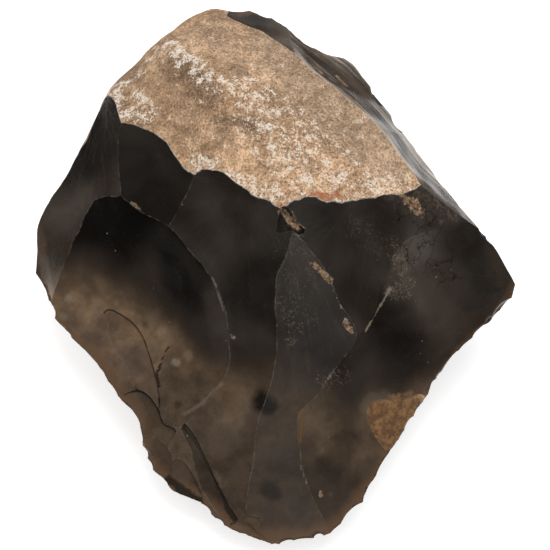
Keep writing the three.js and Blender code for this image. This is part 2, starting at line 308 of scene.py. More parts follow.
def smoothThrough(points, values, bend):
    # a smooth function through values at points; bend is its kernel of distance
    points = np.asarray(points, float)
    count, width = len(points), points.shape[1] + 1
    flat = np.hstack([np.ones((count, 1)), points])
    apart = np.linalg.norm(points[:, None] - points[None], axis=2)
    rows = np.zeros((count + width, count + width))
    rows[:count, :count] = bend(apart)
    rows[:count, count:] = flat
    rows[count:, :count] = flat.T
    weights = np.linalg.solve(rows, np.append(np.asarray(values, float), np.zeros(width)))

    def value(at):
        at = np.asarray(at, float)
        far = np.linalg.norm(at[:, None] - points[None], axis=2)
        return bend(far) @ weights[:count] + weights[count] + at @ weights[count + 1:]

    return value


def plate(distance):
    return distance ** 2 * np.log(np.maximum(distance, 1e-9))


def lumps(points, sizes, seed):
    # layered noise: each size of lump with its own height
    out = np.zeros(len(points))
    for k, (size, height) in enumerate(sizes):
        shift = Vector((seed * 7.3, seed * 3.1 + k * 11.7, seed * 5.9))  # elsewhere in the noise
        out += height * np.array([noise.noise(Vector(p) / size + shift) for p in points])
    return out


def ease(value, low, high):
    t = np.clip((value - low) / (high - low), 0, 1)
    return t * t * (3 - 2 * t)


def lineDistance(points, line):
    line = np.array(line, float)
    nearest = np.full(len(points), np.inf)
    for a, b in zip(line[:-1], line[1:]):
        t = np.clip((points - a) @ (b - a) / ((b - a) @ (b - a)), 0, 1)
        nearest = np.minimum(nearest, np.linalg.norm(points - a - t[:, None] * (b - a), axis=1))
    return nearest


def outsideBy(u, v, outline):
    # how far a point of the scar's plane lies outside its outline
    inside = np.zeros(u.shape, bool)
    nearest = np.full(u.shape, np.inf)
    for (ax, ay), (bx, by) in zip(outline, np.roll(outline, -1, axis=0)):
        share = ((u - ax) * (bx - ax) + (v - ay) * (by - ay)) / ((bx - ax) ** 2 + (by - ay) ** 2)
        t = np.clip(share, 0, 1)
        nearest = np.minimum(nearest, np.hypot(u - ax - t * (bx - ax), v - ay - t * (by - ay)))
        if by != ay:
            crosses = ((ay > v) != (by > v)) & (u < ax + (v - ay) * (bx - ax) / (by - ay))
            inside ^= crosses
    return np.where(inside, 0, nearest)


def newThing(name, data):
    thing = bpy.data.objects.new(name, data)
    bpy.context.scene.collection.objects.link(thing)
    return thing


def newMesh(name, points, faces):
    mesh = bpy.data.meshes.new(name)
    mesh.from_pydata((np.asarray(points) * mm).tolist(), [], faces)
    mesh.update()
    return newThing(name, mesh)


def ballShape(splits):
    # the points and faces of a round ball of radius 1
    ball = bmesh.new()
    bmesh.ops.create_icosphere(ball, subdivisions=splits, radius=1)
    points = [v.co.copy() for v in ball.verts]
    faces = [[v.index for v in f.verts] for f in ball.faces]
    ball.free()
    return points, faces


def dress(thing, material, scarNumber=-1):
    # the number tells later which cut made a face
    thing.data.materials.append(material)
    layer = thing.data.attributes.new("scar", "FLOAT", "FACE")
    layer.data.foreach_set("value", [scarNumber] * len(thing.data.polygons))
    return thing


# Lines on the rind that both its shape and its colour follow.
rindLines = {
    "crest": [
        (-28, 44.5, 64), (-26.2, 45, 64.8), (-22.6, 37.9, 67.5), (-17.7, 32.4, 69), (-14.1, 28.7, 69.2),
        (-11.1, 27, 69.2), (-7.1, 27, 69.2), (-4.7, 25.4, 68.7),
    ],
    "crestFoot": [
        (-4.9, 27.2, 68.9), (-3.1, 22.9, 68), (-2.3, 16.8, 66.5), (1.2, 12.2, 65), (5.8, 7.7, 63.4),
        (12.9, 4.1, 60.3),
    ],
    "valley": [(-25.5, 36.5, 66), (-21.8, 33, 67.1), (-18.4, 28.6, 68), (-15, 25.5, 68.3)],
    "step": [(-13.4, 19.9, 66.3), (-10.1, 19.2, 66.9), (-6.8, 18.3, 66.9), (-4.4, 16.8, 66.5)],
    "paleLine": [
        (-9.8, 46.9, 67.5), (-5.7, 38.1, 68.8), (-0.5, 31.4, 68), (3.1, 26.9, 66.9), (5.9, 23, 66),
        (12.9, 16.3, 63.3), (26, 8.5, 55.8),
    ],
    "browDip": [(-17, 51, 65.6), (-22, 49.5, 65), (-28, 46.5, 63), (-35, 40, 58)],
    "rightCrest": [(-5.5, 39.2, 68.5), (-4, 36.2, 68.6), (-2.6, 34, 68.5), (-1.2, 31.2, 68.2)],
}

noduleShape = {
    "heart": (0, 1.5, 32),  # the nodule's radii are measured from here
    "splits": 7,  # icosphere subdivisions
    "bumps": ((9.0, 0.36), (3.6, 0.24), (1.7, 0.09)),  # size and height of the rind's lumps
    "backBumps": ((24.0, 2.4), (11.0, 1.1), (5.0, 0.4)),  # and of those behind
    "backEdge": "leftShoulder leftEdgeHigh leftEdgeMiddle leftCorner leftCornerLow",
    "pastEdge": (3, 16),  # how far past that edge the bumps behind begin and are whole
    "underBrow": (59, 46),  # how high they begin and are whole
    "overFoot": (6, 14),
    "relief": {  # how wide and how high the rind stands along each line
        "crest": (1.5, 0.40), "crestFoot": (2.4, 0.30), "valley": (2.6, -0.45),
        "step": (1.1, -0.55), "rightCrest": (0.9, 0.25), "browDip": (3.8, -1.5),
    },
}

heart = np.array(noduleShape["heart"], float)
noduleArms = np.array(noduleLandmarks, float) - heart
armLengths = np.linalg.norm(noduleArms, axis=1)
noduleRadius = smoothThrough(noduleArms / armLengths[:, None], armLengths, lambda d: d ** 3)


def rindHeight(points):
    # how far the rind stands out of the smooth nodule
    height = lumps(points, noduleShape["bumps"], seed=1)
    behind = ease(lineDistance(points, places(noduleShape["backEdge"])), *noduleShape["pastEdge"])
    behind *= ease(points[:, 2], *noduleShape["underBrow"])
    behind *= ease(points[:, 2], *noduleShape["overFoot"])
    height += behind * lumps(points, noduleShape["backBumps"], seed=2)
    for name, (width, rise) in noduleShape["relief"].items():
        height += rise * np.exp(-(lineDistance(points, rindLines[name]) / width) ** 2)
    return height


def nodule():
    points, faces = ballShape(noduleShape["splits"])
    directions = np.array([p.normalized() for p in points])
    points = heart + directions * noduleRadius(directions)[:, None]
    points += directions * rindHeight(points)[:, None]
    return newMesh("FlintStone", points, faces)


def blockAbove(name, us, vs, bottom, top, middle=0, axes=np.eye(3)):
    # a closed block over a grid of points; its lid is flat
    count, rows = len(bottom), len(vs)
    ring = [(i, 0) for i in range(len(us))] + [(len(us) - 1, j) for j in range(1, rows)]
    ring += [(i, rows - 1) for i in range(len(us) - 2, -1, -1)]
    ring += [(0, j) for j in range(rows - 2, 0, -1)]
    border = [i * rows + j for i, j in ring]
    lid = bottom[border].copy()
    lid[:, 2] = top
    faces = [
        [i * rows + j, i * rows + j + 1, (i + 1) * rows + j + 1, (i + 1) * rows + j]
        for i in range(len(us) - 1)
        for j in range(rows - 1)
    ]
    n = len(border)
    for k in range(n):
        m = (k + 1) % n
        faces.append([border[k], border[m], count + m, count + k])
    faces.append([count + k for k in range(n)])
    return newMesh(name, middle + np.vstack([bottom, lid]) @ axes, faces)


def scarPlane(points):
    # the scar's middle, and a frame whose third axis points out of the stone
    middle = points.mean(axis=0)
    arms = points - middle
    facing = np.cross(arms, np.roll(arms, -1, axis=0)).sum(axis=0)
    facing /= np.linalg.norm(facing)
    if facing @ (middle - heart) < 0:
        facing = -facing
    upright = np.array((0, 0, 1.0) if abs(facing[2]) < 0.9 else (0, 1.0, 0))
    across = np.cross(upright, facing)
    across /= np.linalg.norm(across)
    return middle, np.array([across, np.cross(facing, across), facing])


def scarCutter(name, scar, seed):
    # a block over the scar, whose underside is the scar's own surface
    points = np.array(places(scar["round"]), float)
    middle, axes = scarPlane(points)
    local = (points - middle) @ axes.T
    outline, heights = local[:, :2], local[:, 2]
    centre = np.zeros((1, 2))
    middleHeight = smoothThrough(outline, heights, plate)(centre)[0] - scar["hollow"]
    surface = smoothThrough(np.vstack([outline, centre]), np.append(heights, middleHeight), plate)

    finish = scarShape["coarse" if scar.get("coarse") else "fine"]
    reach = np.abs(outline).max(axis=0) + scarShape["margin"]
    us, vs = (np.linspace(-r, r, math.ceil(2 * r / finish["step"])) for r in reach)
    u, v = (grid.ravel() for grid in np.meshgrid(us, vs, indexing="ij"))
    outside = outsideBy(u, v, outline)
    w = surface(np.column_stack([u, v])) + scar.get("lift", scarShape["lift"]) * outside ** 2

    close = np.nonzero(outside < scarShape["detailed"])[0]
    at = middle + np.column_stack([u, v, w])[close] @ axes
    struck = np.array(corner[scar["struck"]], float)
    away = np.linalg.norm(at - struck, axis=1)
    wander = lumps(at, scarShape["rippleWander"], seed + scarShape["rippleSeed"])
    phase = away / scarShape["rippleLength"] + wander
    height = scar.get("ripple", finish["ripple"])
    ripple = height * np.sin(phase) * np.exp(-away / scarShape["rippleFade"])
    w[close] += lumps(at, scarShape["waves"], seed) + ripple
    return blockAbove(name, us, vs, np.column_stack([u, v, w]), scarShape["depth"], middle, axes)


rindFinish = {
    "sand": (0.66, 0.425, 0.252),
    "tan": (0.49, 0.302, 0.172),
    "brown": (0.131, 0.078, 0.045),
    "grey": (0.43, 0.302, 0.203),
    "pale": (0.78, 0.58, 0.405),
    "white": (0.98, 0.87, 0.75),
    "soot": (0.0381, 0.0305, 0.0254),
    "rust": (0.43, 0.10, 0.02),
    "tanned": (0.265, 0.14, 0.058),  # the old patch at the lower right
    "tannedDark": (0.14, 0.07, 0.028),
    "linesApart": 1 / 0.22,  # the fine dark lines, before they are bent
    "roughness": 0.86,
    "specular": 0.3,
    "bump": 0.8,
    "bumpHeight": 0.9,
}

flintFinish = {
    "black": (0.0072, 0.0047, 0.0031),
    "grey": (0.0216, 0.0176, 0.0142),
    "haze": (0.030, 0.0200, 0.0135),
    "cloudBrown": (0.131, 0.082, 0.045),
    "cloudGrey": (0.089, 0.058, 0.037),
    "milkyAndHighlight": (0.22, 0.174, 0.127),
    "amber": (0.127, 0.07, 0.0356),
    "chalk": (0.467, 0.431, 0.377),
    "arris": (0.144, 0.127, 0.11),
    "crease": (0.003, 0.0021, 0.0017),
    "crumb": (0.254, 0.148, 0.072),
    "crumbPale": (0.494, 0.413, 0.323),
    "weathered": (0.089, 0.059, 0.0356),
    "stain": (0.0254, 0.0169, 0.0102),
    "tanned": (0.169, 0.093, 0.044),
    "rust": (0.127, 0.058, 0.0169),
    "paintedSheen": (0.60, 0.50, 0.41),
    "paintedSheenDark": (0.15, 0.112, 0.085),
    "stripBrown": (0.125, 0.072, 0.038),
    "bitsApart": 3.4,  # the pale bits that cling to it
    "bitSize": 0.055,  # as a share of that
    "cracksApart": 5,
    "roughness": 0.19,
    "refraction": 1.54,
    "grainBump": 0.11,
    "hackleBump": 0.55,
    "streakBump": 0.15,
    "bumpHeight": 0.3,
}


class Wire:
    # what comes out of a shader node; + - * with numbers or other wires make Math nodes
    def __init__(self, outlet):
        self.outlet = outlet
        self.tree = outlet.id_data

    def __add__(self, other):
        return maths("ADD", self, other)

    def __sub__(self, other):
        return maths("SUBTRACT", self, other)

    def __rsub__(self, other):
        return maths("SUBTRACT", other, self)

    def __mul__(self, other):
        return maths("MULTIPLY", self, other)


def plug(value, socket):
    if isinstance(value, Wire):
        value.tree.links.new(value.outlet, socket)
    elif socket.type == "RGBA":
        socket.default_value = (*value, 1)
    else:
        socket.default_value = value


def addNode(tree, kind, *inlets, outlet=0, **settings):
    # inlets go to the node's sockets in their order, settings to sockets or properties by name
    node = tree.nodes.new("ShaderNode" + kind)
    for name, value in settings.items():
        if name in node.inputs:
            plug(value, node.inputs[name])
        else:
            setattr(node, name, value)
    for value, socket in zip(inlets, node.inputs):
        plug(value, socket)
    return Wire(node.outputs[outlet]) if node.outputs else None


def maths(operation, a, b, clamp=False):
    tree = (a if isinstance(a, Wire) else b).tree
    return addNode(tree, "Math", a, b, operation=operation, use_clamp=clamp)


def band(value, low, high, least=0.0, most=1.0):
    # runs smoothly from least to most as value goes from low to high
    return addNode(value.tree, "MapRange", value, low, high, least, most,
                   interpolation_type="SMOOTHSTEP")


def blend(amount, first, second):
    # a Mix node's sockets for colours are its inlets 6 and 7 and its outlet 2
    node = amount.tree.nodes.new("ShaderNodeMix")
    node.data_type = "RGBA"
    for index, value in ((0, amount), (6, first), (7, second)):
        plug(value, node.inputs[index])
    return Wire(node.outputs[2])


def grain(place, size, detail=3.0, roughness=0.55, distortion=0.0):
    # noise whose lumps are about size millimetres across
    return addNode(place.tree, "TexNoise", Vector=place, Scale=1 / size, Detail=detail,
                   Roughness=roughness, Distortion=distortion)


def seams(place, size):
    # how far a place is from the borders between cells
    return addNode(place.tree, "TexVoronoi", outlet="Distance", feature="DISTANCE_TO_EDGE",
                   Vector=place, Scale=1 / size)


def scaled(colour, amount):
    return addNode(colour.tree, "VectorMath", colour, operation="SCALE", Scale=amount)


def raised(mask, pattern, low, high):
    # a mask whose edge follows the pattern: it shows where mask + pattern - 1 rises past low to high
    return band(mask + pattern - 1.0, low, high)


def bentPlace(place, bends, reach):
    # the place pushed about by three noises, so that patterns in it run crooked
    crooked = addNode(place.tree, "CombineXYZ", *bends)
    return addNode(place.tree, "VectorMath", crooked, (reach,) * 3, place, operation="MULTIPLY_ADD")


def painted(tree, name):
    # a value painted on the stone
    return addNode(tree, "Attribute", outlet="Fac", attribute_name=name)


def newMaterial(name):
    # with the place in the stone's millimetres, and a way to get at the painted values
    material = bpy.data.materials.new(name)
    material.use_nodes = True
    tree = material.node_tree
    tree.nodes.clear()
    shader = tree.nodes.new("ShaderNodeBsdfPrincipled")
    addNode(tree, "OutputMaterial", Wire(shader.outputs[0]))
    place = scaled(addNode(tree, "TexCoord", outlet="Object"), 1 / mm)
    return material, shader.inputs, place, partial(painted, tree)


def rindMaterial():
    material, shader, place, mask = newMaterial("rind")
    f = rindFinish
    coarse = grain(place, 7, 4, 0.6)
    middle = grain(place, 2.2, 5, 0.7)
    fine = grain(place, 0.55, 3, 0.7)
    flecks = grain(place, 1.5, 7, 0.86)
    tiny = grain(place, 0.3, 1, 0.5)

    # sandy ground, browner by the patch, with painted shade in the hollows, and lighter or darker by the
    # rind's tone, which holds painted light and shade
    grey = mask("greyRind")
    colour = blend(band(coarse, 0.34, 0.66), f["sand"], f["tan"])
    colour = blend(grey * 0.75, colour, f["grey"])
    colour = blend(mask("shade") * 0.55, colour, f["brown"])
    light = mask("rindTone") * band(middle, 0.34, 0.66, 0.74, 1.24) * band(fine, 0.32, 0.68, 0.84, 1.16)
    colour = scaled(colour, light)
    dark = band(flecks, 0.41, 0.33) * band(grey, 0.2, 0.9, 0.85, 0.5)
    colour = blend(dark, colour, f["brown"])
    gritty = fine * 0.5 + tiny * 0.5
    colour = blend(band(gritty, 0.47, 0.34, 0, 0.8), colour, f["brown"])
    colour = blend(band(gritty, 0.54, 0.66, 0, 0.5), colour, f["pale"])
    lines = seams(bentPlace(place, (middle, fine, coarse), 6), f["linesApart"])
    line = band(lines, 0.035, 0.0) * band(coarse, 0.44, 0.6, 0, 0.75)
    colour = blend(line, colour, f["brown"])

    # chalk flecks, thick along the crests, with painted shade in the holes between them
    chalk = mask("chalk")
    patchy = flecks + (middle - 0.5) * 0.7 + (tiny - 0.5) * 0.35
    white = maths("MULTIPLY", patchy - (0.64 - chalk * 0.14), 24, clamp=True)
    colour = blend(white, colour, blend(band(fine, 0.35, 0.56), f["pale"], f["white"]))
    colour = blend(chalk * band(fine, 0.42, 0.34, 0, 0.85), colour, f["brown"])

    # soot, rust and the old patch
    spotty = grain(place, 0.75, 3, 0.6, 0.8)
    soot = maths("MULTIPLY", mask("soot") * 0.12 + 0.27 - spotty, 22, clamp=True)
    colour = blend(soot * 0.8, colour, f["soot"])
    rust = maths("MULTIPLY", fine - (0.80 - mask("rindRust") * 0.34), 30, clamp=True)
    colour = blend(rust * 0.85, colour, f["rust"])
    tanned = blend(band(middle, 0.40, 0.60), f["tannedDark"], f["tanned"])
    tanned = blend(band(fine, 0.40, 0.32, 0, 0.8), tanned, f["soot"])
    plug(blend(mask("tanned"), colour, tanned), shader["Base Color"])

    plug(f["roughness"], shader["Roughness"])
    plug(f["specular"], shader["Specular IOR Level"])
    bump = addNode(place.tree, "Bump", Height=middle * 1.4 + flecks * 0.8, Strength=f["bump"],
                   Distance=f["bumpHeight"] * mm)
    plug(bump, shader["Normal"])
    return material


def flintMaterial():
    material, shader, place, mask = newMaterial("flint")
    f = flintFinish
    broad = grain(place, 16, 3, 0.5, 0.3)
    cloudy = grain(place, 6, 3, 0.5, 0.3)
    smudge = grain(place, 4.5, 2, 0.5)
    mottle = grain(place, 2.4, 3, 0.5)
    speck = grain(place, 0.9, 3, 0.6)
    dust = grain(place, 0.5, 4, 0.75)
    rough = mottle * 0.9 + speck * 0.7 - 0.3
    grit = speck * 0.5 + dust * 0.5

    # the body of the stone: black glass, hazy towards the pale zone, cloudy in it; the tone of each face
    # holds painted reflection and shade as well as the flint's own colour
    dark = blend(band(broad, 0.28, 0.78), f["black"], f["grey"])
    dark = blend(mask("haze"), scaled(dark, mask("darkTone")), f["haze"])
    greyer = mask("cloudDepth") * 0.55 + cloudy * 1.5
    cloudTint = blend(band(greyer, 0.72, 1.25), f["cloudBrown"], f["cloudGrey"])
    uneven = band(smudge, 0.34, 0.66, 0.80, 1.20) * mask("paleTone") * band(speck, 0.3, 0.7, 0.91, 1.09)
    colour = blend(mask("cloud"), dark, scaled(cloudTint, uneven))
    # milky marks, and a painted highlight along the inside of the hollow's rim
    colour = blend(mask("milkyAndHighlight") * 0.75, colour, f["milkyAndHighlight"])
    colour = blend(mask("darkSpot"), colour, f["black"])
    thin = band(mask("thickness") + cloudy * 3, 5.5, 2.0, 0, 0.85)
    colour = blend(maths("MAXIMUM", thin, mask("amber")), colour, f["amber"])

    # pale hackles near where a face was struck
    combing = grain(addNode(place.tree, "CombineXYZ", mask("fan"), mask("away")), 1, 2, 0.5)
    frosted = mask("hackle") * band(combing, 0.50, 0.72, 0, 0.5) * band(dust, 0.36, 0.58)
    colour = blend(frosted, colour, f["milkyAndHighlight"])

    # what lies on it: dust, weathering, cracks, crumbs of rind and rust
    dusty = mask("dust") * 0.24 + 0.19 + mottle * 0.25
    colour = blend(raised(dusty, dust, -0.04, 0.16) * 0.5, colour, f["milkyAndHighlight"])
    bits = addNode(place.tree, "TexVoronoi", Vector=place, Scale=1 / f["bitsApart"])
    bit = band(bits, f["bitSize"], f["bitSize"] * 0.4) * band(grain(place, 7, 2, 0.5), 0.48, 0.66)
    colour = blend(bit * 0.75, colour, f["crumbPale"])
    tanned = blend(band(mottle, 0.38, 0.6), f["weathered"], f["tanned"])
    colour = blend(raised(mask("tannedEdge"), rough, -0.3, 0.5), colour, tanned)
    stain = blend(band(grit, 0.42, 0.62), f["stain"], f["weathered"])
    colour = blend(raised(mask("weathered"), mottle, -0.15, 0.4), colour, stain)
    cracks = seams(bentPlace(place, (mottle, speck, cloudy), 5), f["cracksApart"])
    colour = blend(band(cracks, 0.04, 0.0) * mask("cracked"), colour, f["crease"])
    crumbs = blend(band(grit, 0.40, 0.56), f["stain"], f["crumb"])
    crumbs = blend(band(grit, 0.57, 0.66), crumbs, f["crumbPale"])
    colour = blend(raised(mask("crumb"), rough, 0.08, 0.22), colour, crumbs)
    colour = blend(raised(mask("streak"), rough, -0.1, 0.35) * 0.7, colour, f["milkyAndHighlight"])
    colour = blend(raised(mask("rust"), rough, 0.05, 0.4) * 0.75, colour, f["rust"])

    # painted sheen: the streaky shine of the strip down the back, painted into its colour, darker and
    # browner along its core
    lengthways = addNode(place.tree, "CombineXYZ", mask("stripAcross"), mask("stripAlong"))
    streaks = grain(lengthways, 2.8, 3, 0.5, 1.2)
    paintedSheen = blend(band(streaks, 0.34, 0.62), f["paintedSheenDark"], f["paintedSheen"])
    paintedSheen = blend(mask("stripCore"), paintedSheen, f["stripBrown"])
    shiny = maths("ADD", mask("paintedSheen"), band(streaks, 0.40, 0.68, 0.1, 0.6), clamp=True)
    colour = blend(mask("strip") * shiny, colour, paintedSheen)

    # painted highlights along the ridges between cuts, painted shadow in and beside the folds, and the
    # chalky line under the rind
    ridgeHighlight = band(mask("arris"), 0.20, 0.02, 0, 0.6) * band(rough, 0.36, 0.72)
    colour = blend(ridgeHighlight, colour, f["arris"])
    inFold = band(mask("crease"), 0.40, 0.05, 0, 0.85) * band(rough, 0.3, 0.6, 0.5, 1)
    colour = blend(inFold, colour, f["crease"])
    # painted shadow beside the ridges and steps
    colour = blend(raised(mask("dirt"), mottle, -0.25, 0.2), colour, f["stain"])
    chalk = band(mask("rindDepth") + speck * 0.4, 0.34, 0.20, 0, 0.9)
    plug(blend(chalk, colour, f["chalk"]), shader["Base Color"])

    dull = maths("MAXIMUM", chalk, maths("MAXIMUM", mask("crumb"), mask("weathered")))
    plug(mottle * 0.14 + f["roughness"] + dull * 0.35, shader["Roughness"])
    plug(f["refraction"], shader["IOR"])
    height = combing * mask("hackle") * f["hackleBump"] + (mottle * 1.2 + speck) * f["grainBump"]
    combed = streaks * mask("strip") * f["streakBump"]
    bump = addNode(place.tree, "Bump", Height=height + combed, Strength=1.0,
                   Distance=f["bumpHeight"] * mm)
    plug(bump, shader["Normal"])
    return material


rind, flint = rindMaterial(), flintMaterial()

# Small late scars on the faces that show, as seen from above: x, y and the depth that the new
# face lies under the old one. Where the depth is below nothing the scar dies out.
lateScars = {
    "stepScar": [
        (-41, -5.5, 0.1), (-37.7, -6.6, 0.45), (-34.2, -9.2, 0.75), (-32.0, -12.5, 0.9),
        (-30.6, -16.2, 0.95), (-29.3, -20.6, 0.95), (-28.1, -25.4, 0.9), (-27.7, -30.3, 0.8),
        (-30.9, -26.8, 0.3), (-33.8, -24.4, 0.0), (-37, -21.5, -0.3), (-41.5, -15, -0.3),
        (-43, -9, -0.3),
    ],
    "footScar": [
        (-34.1, -24.9, 0.5), (-31.0, -26.0, 1.2), (-28.0, -30.3, 1.5), (-26.9, -33.6, 1.5),
        (-23.6, -36.9, 1.0), (-25.5, -39, 0.3), (-29, -41.5, -0.2), (-33, -36, -0.2),
        (-37, -27, -0.1),
    ],
    "ridgeFlank": [
        (-21.3, -36.5, 0.25), (-18.4, -39.9, 0.65), (-17.0, -42.4, 1.0), (-14.6, -46.6, 1.0),
        (-12.7, -50.1, 0.9), (-10.8, -53.0, 0.7), (-9.0, -55.8, 0.4), (-11.8, -56.4, -0.1),
        (-15.4, -51.8, 0.0), (-18.2, -47.2, -0.05), (-20.2, -42, -0.1), (-22.2, -38.3, -0.1),
    ],
    "rimFlakeHigh": [
        (-32.0, -35.8, 0.2), (-28.8, -36.6, 0.7), (-25.8, -39.6, 0.9), (-24.6, -43.0, 0.8),
        (-26.2, -46.4, 0.5), (-29.6, -43.5, 0.25), (-33.2, -39.0, 0.1),
    ],
    "rimFlakeLow": [
        (-24.2, -42.4, 0.2), (-21.2, -43.6, 0.7), (-18.8, -47.0, 0.9), (-17.4, -50.6, 0.7),
        (-19.6, -52.6, 0.4), (-23.6, -50.6, 0.2), (-26.4, -46.8, 0.1),
    ],
    "frontChip": [
        (-7.6, -55.6, 0.4), (-4.2, -56.0, 0.4), (-3.2, -57.8, 0.1), (-6.9, -58.8, -0.2),
    ],
}

browPit = [
    (1.6, -1.0, 1.1), (3.8, -1.6, 1.1), (4.6, -3.2, 0.9), (6.9, -4.6, 0.7), (5.9, -5.9, 0.6),
    (3.8, -5.2, 0.6), (0.6, -4.9, 0.5), (0.5, -3.6, 0.8),
]

# The patch of older, rind-like surface at the lower right.
oldPatch = [
    (21.9, -33.2, 0.15), (23.5, -31.2, 0.2), (26.3, -30.1, 0.3), (30.5, -28.5, 0.35), (35.5, -25.9, 0.3),
    (36.5, -28.0, 0.2), (32.8, -33.0, 0.2), (29.8, -37.5, 0.1), (26.5, -39.5, 0.1), (22.6, -36.0, 0.15),
]

# Chips along an edge: radius of the ball that takes one, how deep it bites, from one to the next.
rimChips = {
    "line": "leftHeel rimLeft1-9 rimFront rimRight1-5 rightTipLow",
    "size": (1.3, 4.6),
    "bite": (0.06, 0.75),
    "gap": (0.7, 2.3),
    "seed": 11,
}
backChips = {
    "line": "peakCrown backCrown backShelf backRidge backEdge1-5 rightTipTop rightTipHigh",
    "size": (1.6, 4.2),
    "bite": (0.03, 0.28),
    "gap": (2.0, 5.5),
    "seed": 12,
}
borderChips = {
    "cuts": ("heelScar", "spurScar", "heelUpper", "backWall", "backWallRight"),  # meeting the rind
    "top": 52,  # none higher than this
    "size": (4.0, 16.0),
    "bite": (0.3, 1.3),
    "gap": (9.0, 24.0),
    "stretch": (0.7, 1.1),
    "seed": 14,
}
chipShape = {
    "splits": (3, 4),  # of the ball that takes a small chip, and of a big one
    "big": 2,  # a ball is big over this radius
    "stretch": (1.1, 2.1),  # most are longer along the edge
    "flat": (0.55, 0.95),
    "lumps": ((0.8, 0.10), (0.35, 0.03)),  # of a ball of radius 1
    "up": (5, 55),  # how many degrees a chip is tilted up, or down
    "down": (5, 60),
    "edgePower": 2.5,  # the higher, the more of the chips are shallow
    "borderPower": 2,
}

# The larger bites out of the edges: x, y, z, radius and depth.
edgeBites = {
    "places": [
        (-2.4, 53.9, 62.4, 2.6, 0.7), (1.9, 53.0, 60.0, 1.8, 0.5), (5.6, 50.6, 58.2, 3.5, 1.1),
        (12.4, 47.4, 56.2, 4.5, 1.0), (29.5, 31.2, 48.5, 7.0, 0.7),
        (-35.8, -28.2, 12.5, 4.0, 1.0), (-31.6, -38.0, 11.5, 2.0, 0.4), (-27.9, -45.9, 9.8, 3.5, 0.7),
        (-20.5, -50.6, 8.8, 3.0, 0.6), (41.6, -20.2, 17.0, 5.0, 1.4),
    ],
    "tilt": (-0.3, 0.1),
    "seed": 13,
}


restShape = {"side": 200, "thickness": 20}  # of the block that levels the flat spot


def restBlock():
    block = bmesh.new()
    bmesh.ops.create_cube(block, size=1)
    side, thickness = restShape["side"], restShape["thickness"]
    points = [(v.co.x * side, v.co.y * side, (v.co.z - 0.5) * thickness) for v in block.verts]
    faces = [[v.index for v in f.verts] for f in block.faces]
    block.free()
    return dress(newMesh("restBlock", points, faces), flint, -3)


def scoop(point, out, turn, tilt, radius, bite, draw, stretch=chipShape["stretch"]):
    # the uneven ball that takes one chip
    small, big = chipShape["splits"]
    points, faces = ballShape(big if radius > chipShape["big"] else small)
    shape = np.array(points)
    shape *= 1 + lumps(shape, chipShape["lumps"], draw.random())[:, None]
    low = draw.uniform(*chipShape["flat"])
    shape *= np.array((draw.uniform(*stretch), 1, low)) * radius
    spin = np.array(Matrix.Rotation(turn, 3, "Z"))
    away = out * math.cos(tilt) + np.array((0, 0, math.sin(tilt)))
    thick = radius * math.hypot(math.cos(tilt), low * math.sin(tilt))
    return dress(newMesh("scoop", point + away * (thick - bite) + shape @ spin.T, faces), flint, -2)


def outward(point):
    # the level way out of the stone at a point, and the turn of an edge that faces it
    out = np.array((point[0] - heart[0], point[1] - heart[1], 0))
    out /= np.linalg.norm(out)
    return out, math.atan2(out[1], out[0]) + math.pi / 2


def along(line, gap, draw):
    # points along a line through corners, a random gap apart, with the way out of the stone
    corners = np.array(places(line), float)
    spans = np.linalg.norm(np.diff(corners, axis=0), axis=1)
    ends = np.concatenate([[0], np.cumsum(spans)])
    at = draw.uniform(*gap)
    while at < ends[-1]:
        k = min(np.searchsorted(ends, at, side="right") - 1, len(spans) - 1)
        point = corners[k] + (corners[k + 1] - corners[k]) * (at - ends[k]) / spans[k]
        way = corners[k + 1] - corners[k]
        out = np.array((point[0] - heart[0], point[1] - heart[1], 0))
        out -= way * (out @ way) / (way @ way)
        yield point, out / np.linalg.norm(out), math.atan2(way[1], way[0])
        at += draw.uniform(*gap)


def chips(spec):
    draw = random.Random(spec["seed"])
    least, most = spec["bite"]
    made = []
    for point, out, turn in along(spec["line"], spec["gap"], draw):
        bite = least + (most - least) * draw.random() ** chipShape["edgePower"]
        tilt = draw.choice((draw.uniform(*chipShape["up"]), -draw.uniform(*chipShape["down"])))
        radius = draw.uniform(*spec["size"])
        made.append(scoop(point, out, turn, math.radians(tilt), radius, bite, draw))
    return made


def bites(spec):
    draw = random.Random(spec["seed"])
    made = []
    for *point, radius, bite in spec["places"]:
        out, turn = outward(point)
        made.append(scoop(np.array(point), out, turn, draw.uniform(*spec["tilt"]), radius, bite, draw))
    return made


def chipsAtRind(thing, spec):
    # chips strewn along the line where the cuts meet the rind
    mesh = bmesh.new()
    mesh.from_mesh(thing.data)
    layer = mesh.faces.layers.float["scar"]
    cuts = {list(scars).index(name) for name in spec["cuts"]}
    spots = []
    for edge in mesh.edges:
        found = {round(face[layer]) for face in edge.link_faces}
        spot = (edge.verts[0].co + edge.verts[1].co) / (2 * mm)
        if -1 in found and found & cuts and spot.z < spec["top"]:
            spots.append(tuple(round(c, 1) for c in spot))
    mesh.free()
    spots = sorted(set(spots))
    draw = random.Random(spec["seed"])
    draw.shuffle(spots)
    chosen, made = [], []
    for spot in np.array(spots):
        if all(np.linalg.norm(spot - other) > draw.uniform(*spec["gap"]) for other in chosen):
            chosen.append(spot)
    least, most = spec["bite"]
    for spot in chosen:
        out, turn = outward(spot)
        tilt = math.asin((spot - heart)[2] / np.linalg.norm(spot - heart))
        bite = least + (most - least) * draw.random() ** chipShape["borderPower"]
        radius = draw.uniform(*spec["size"])
        made.append(scoop(spot, out, turn, tilt, radius, bite, draw, spec["stretch"]))
    return made


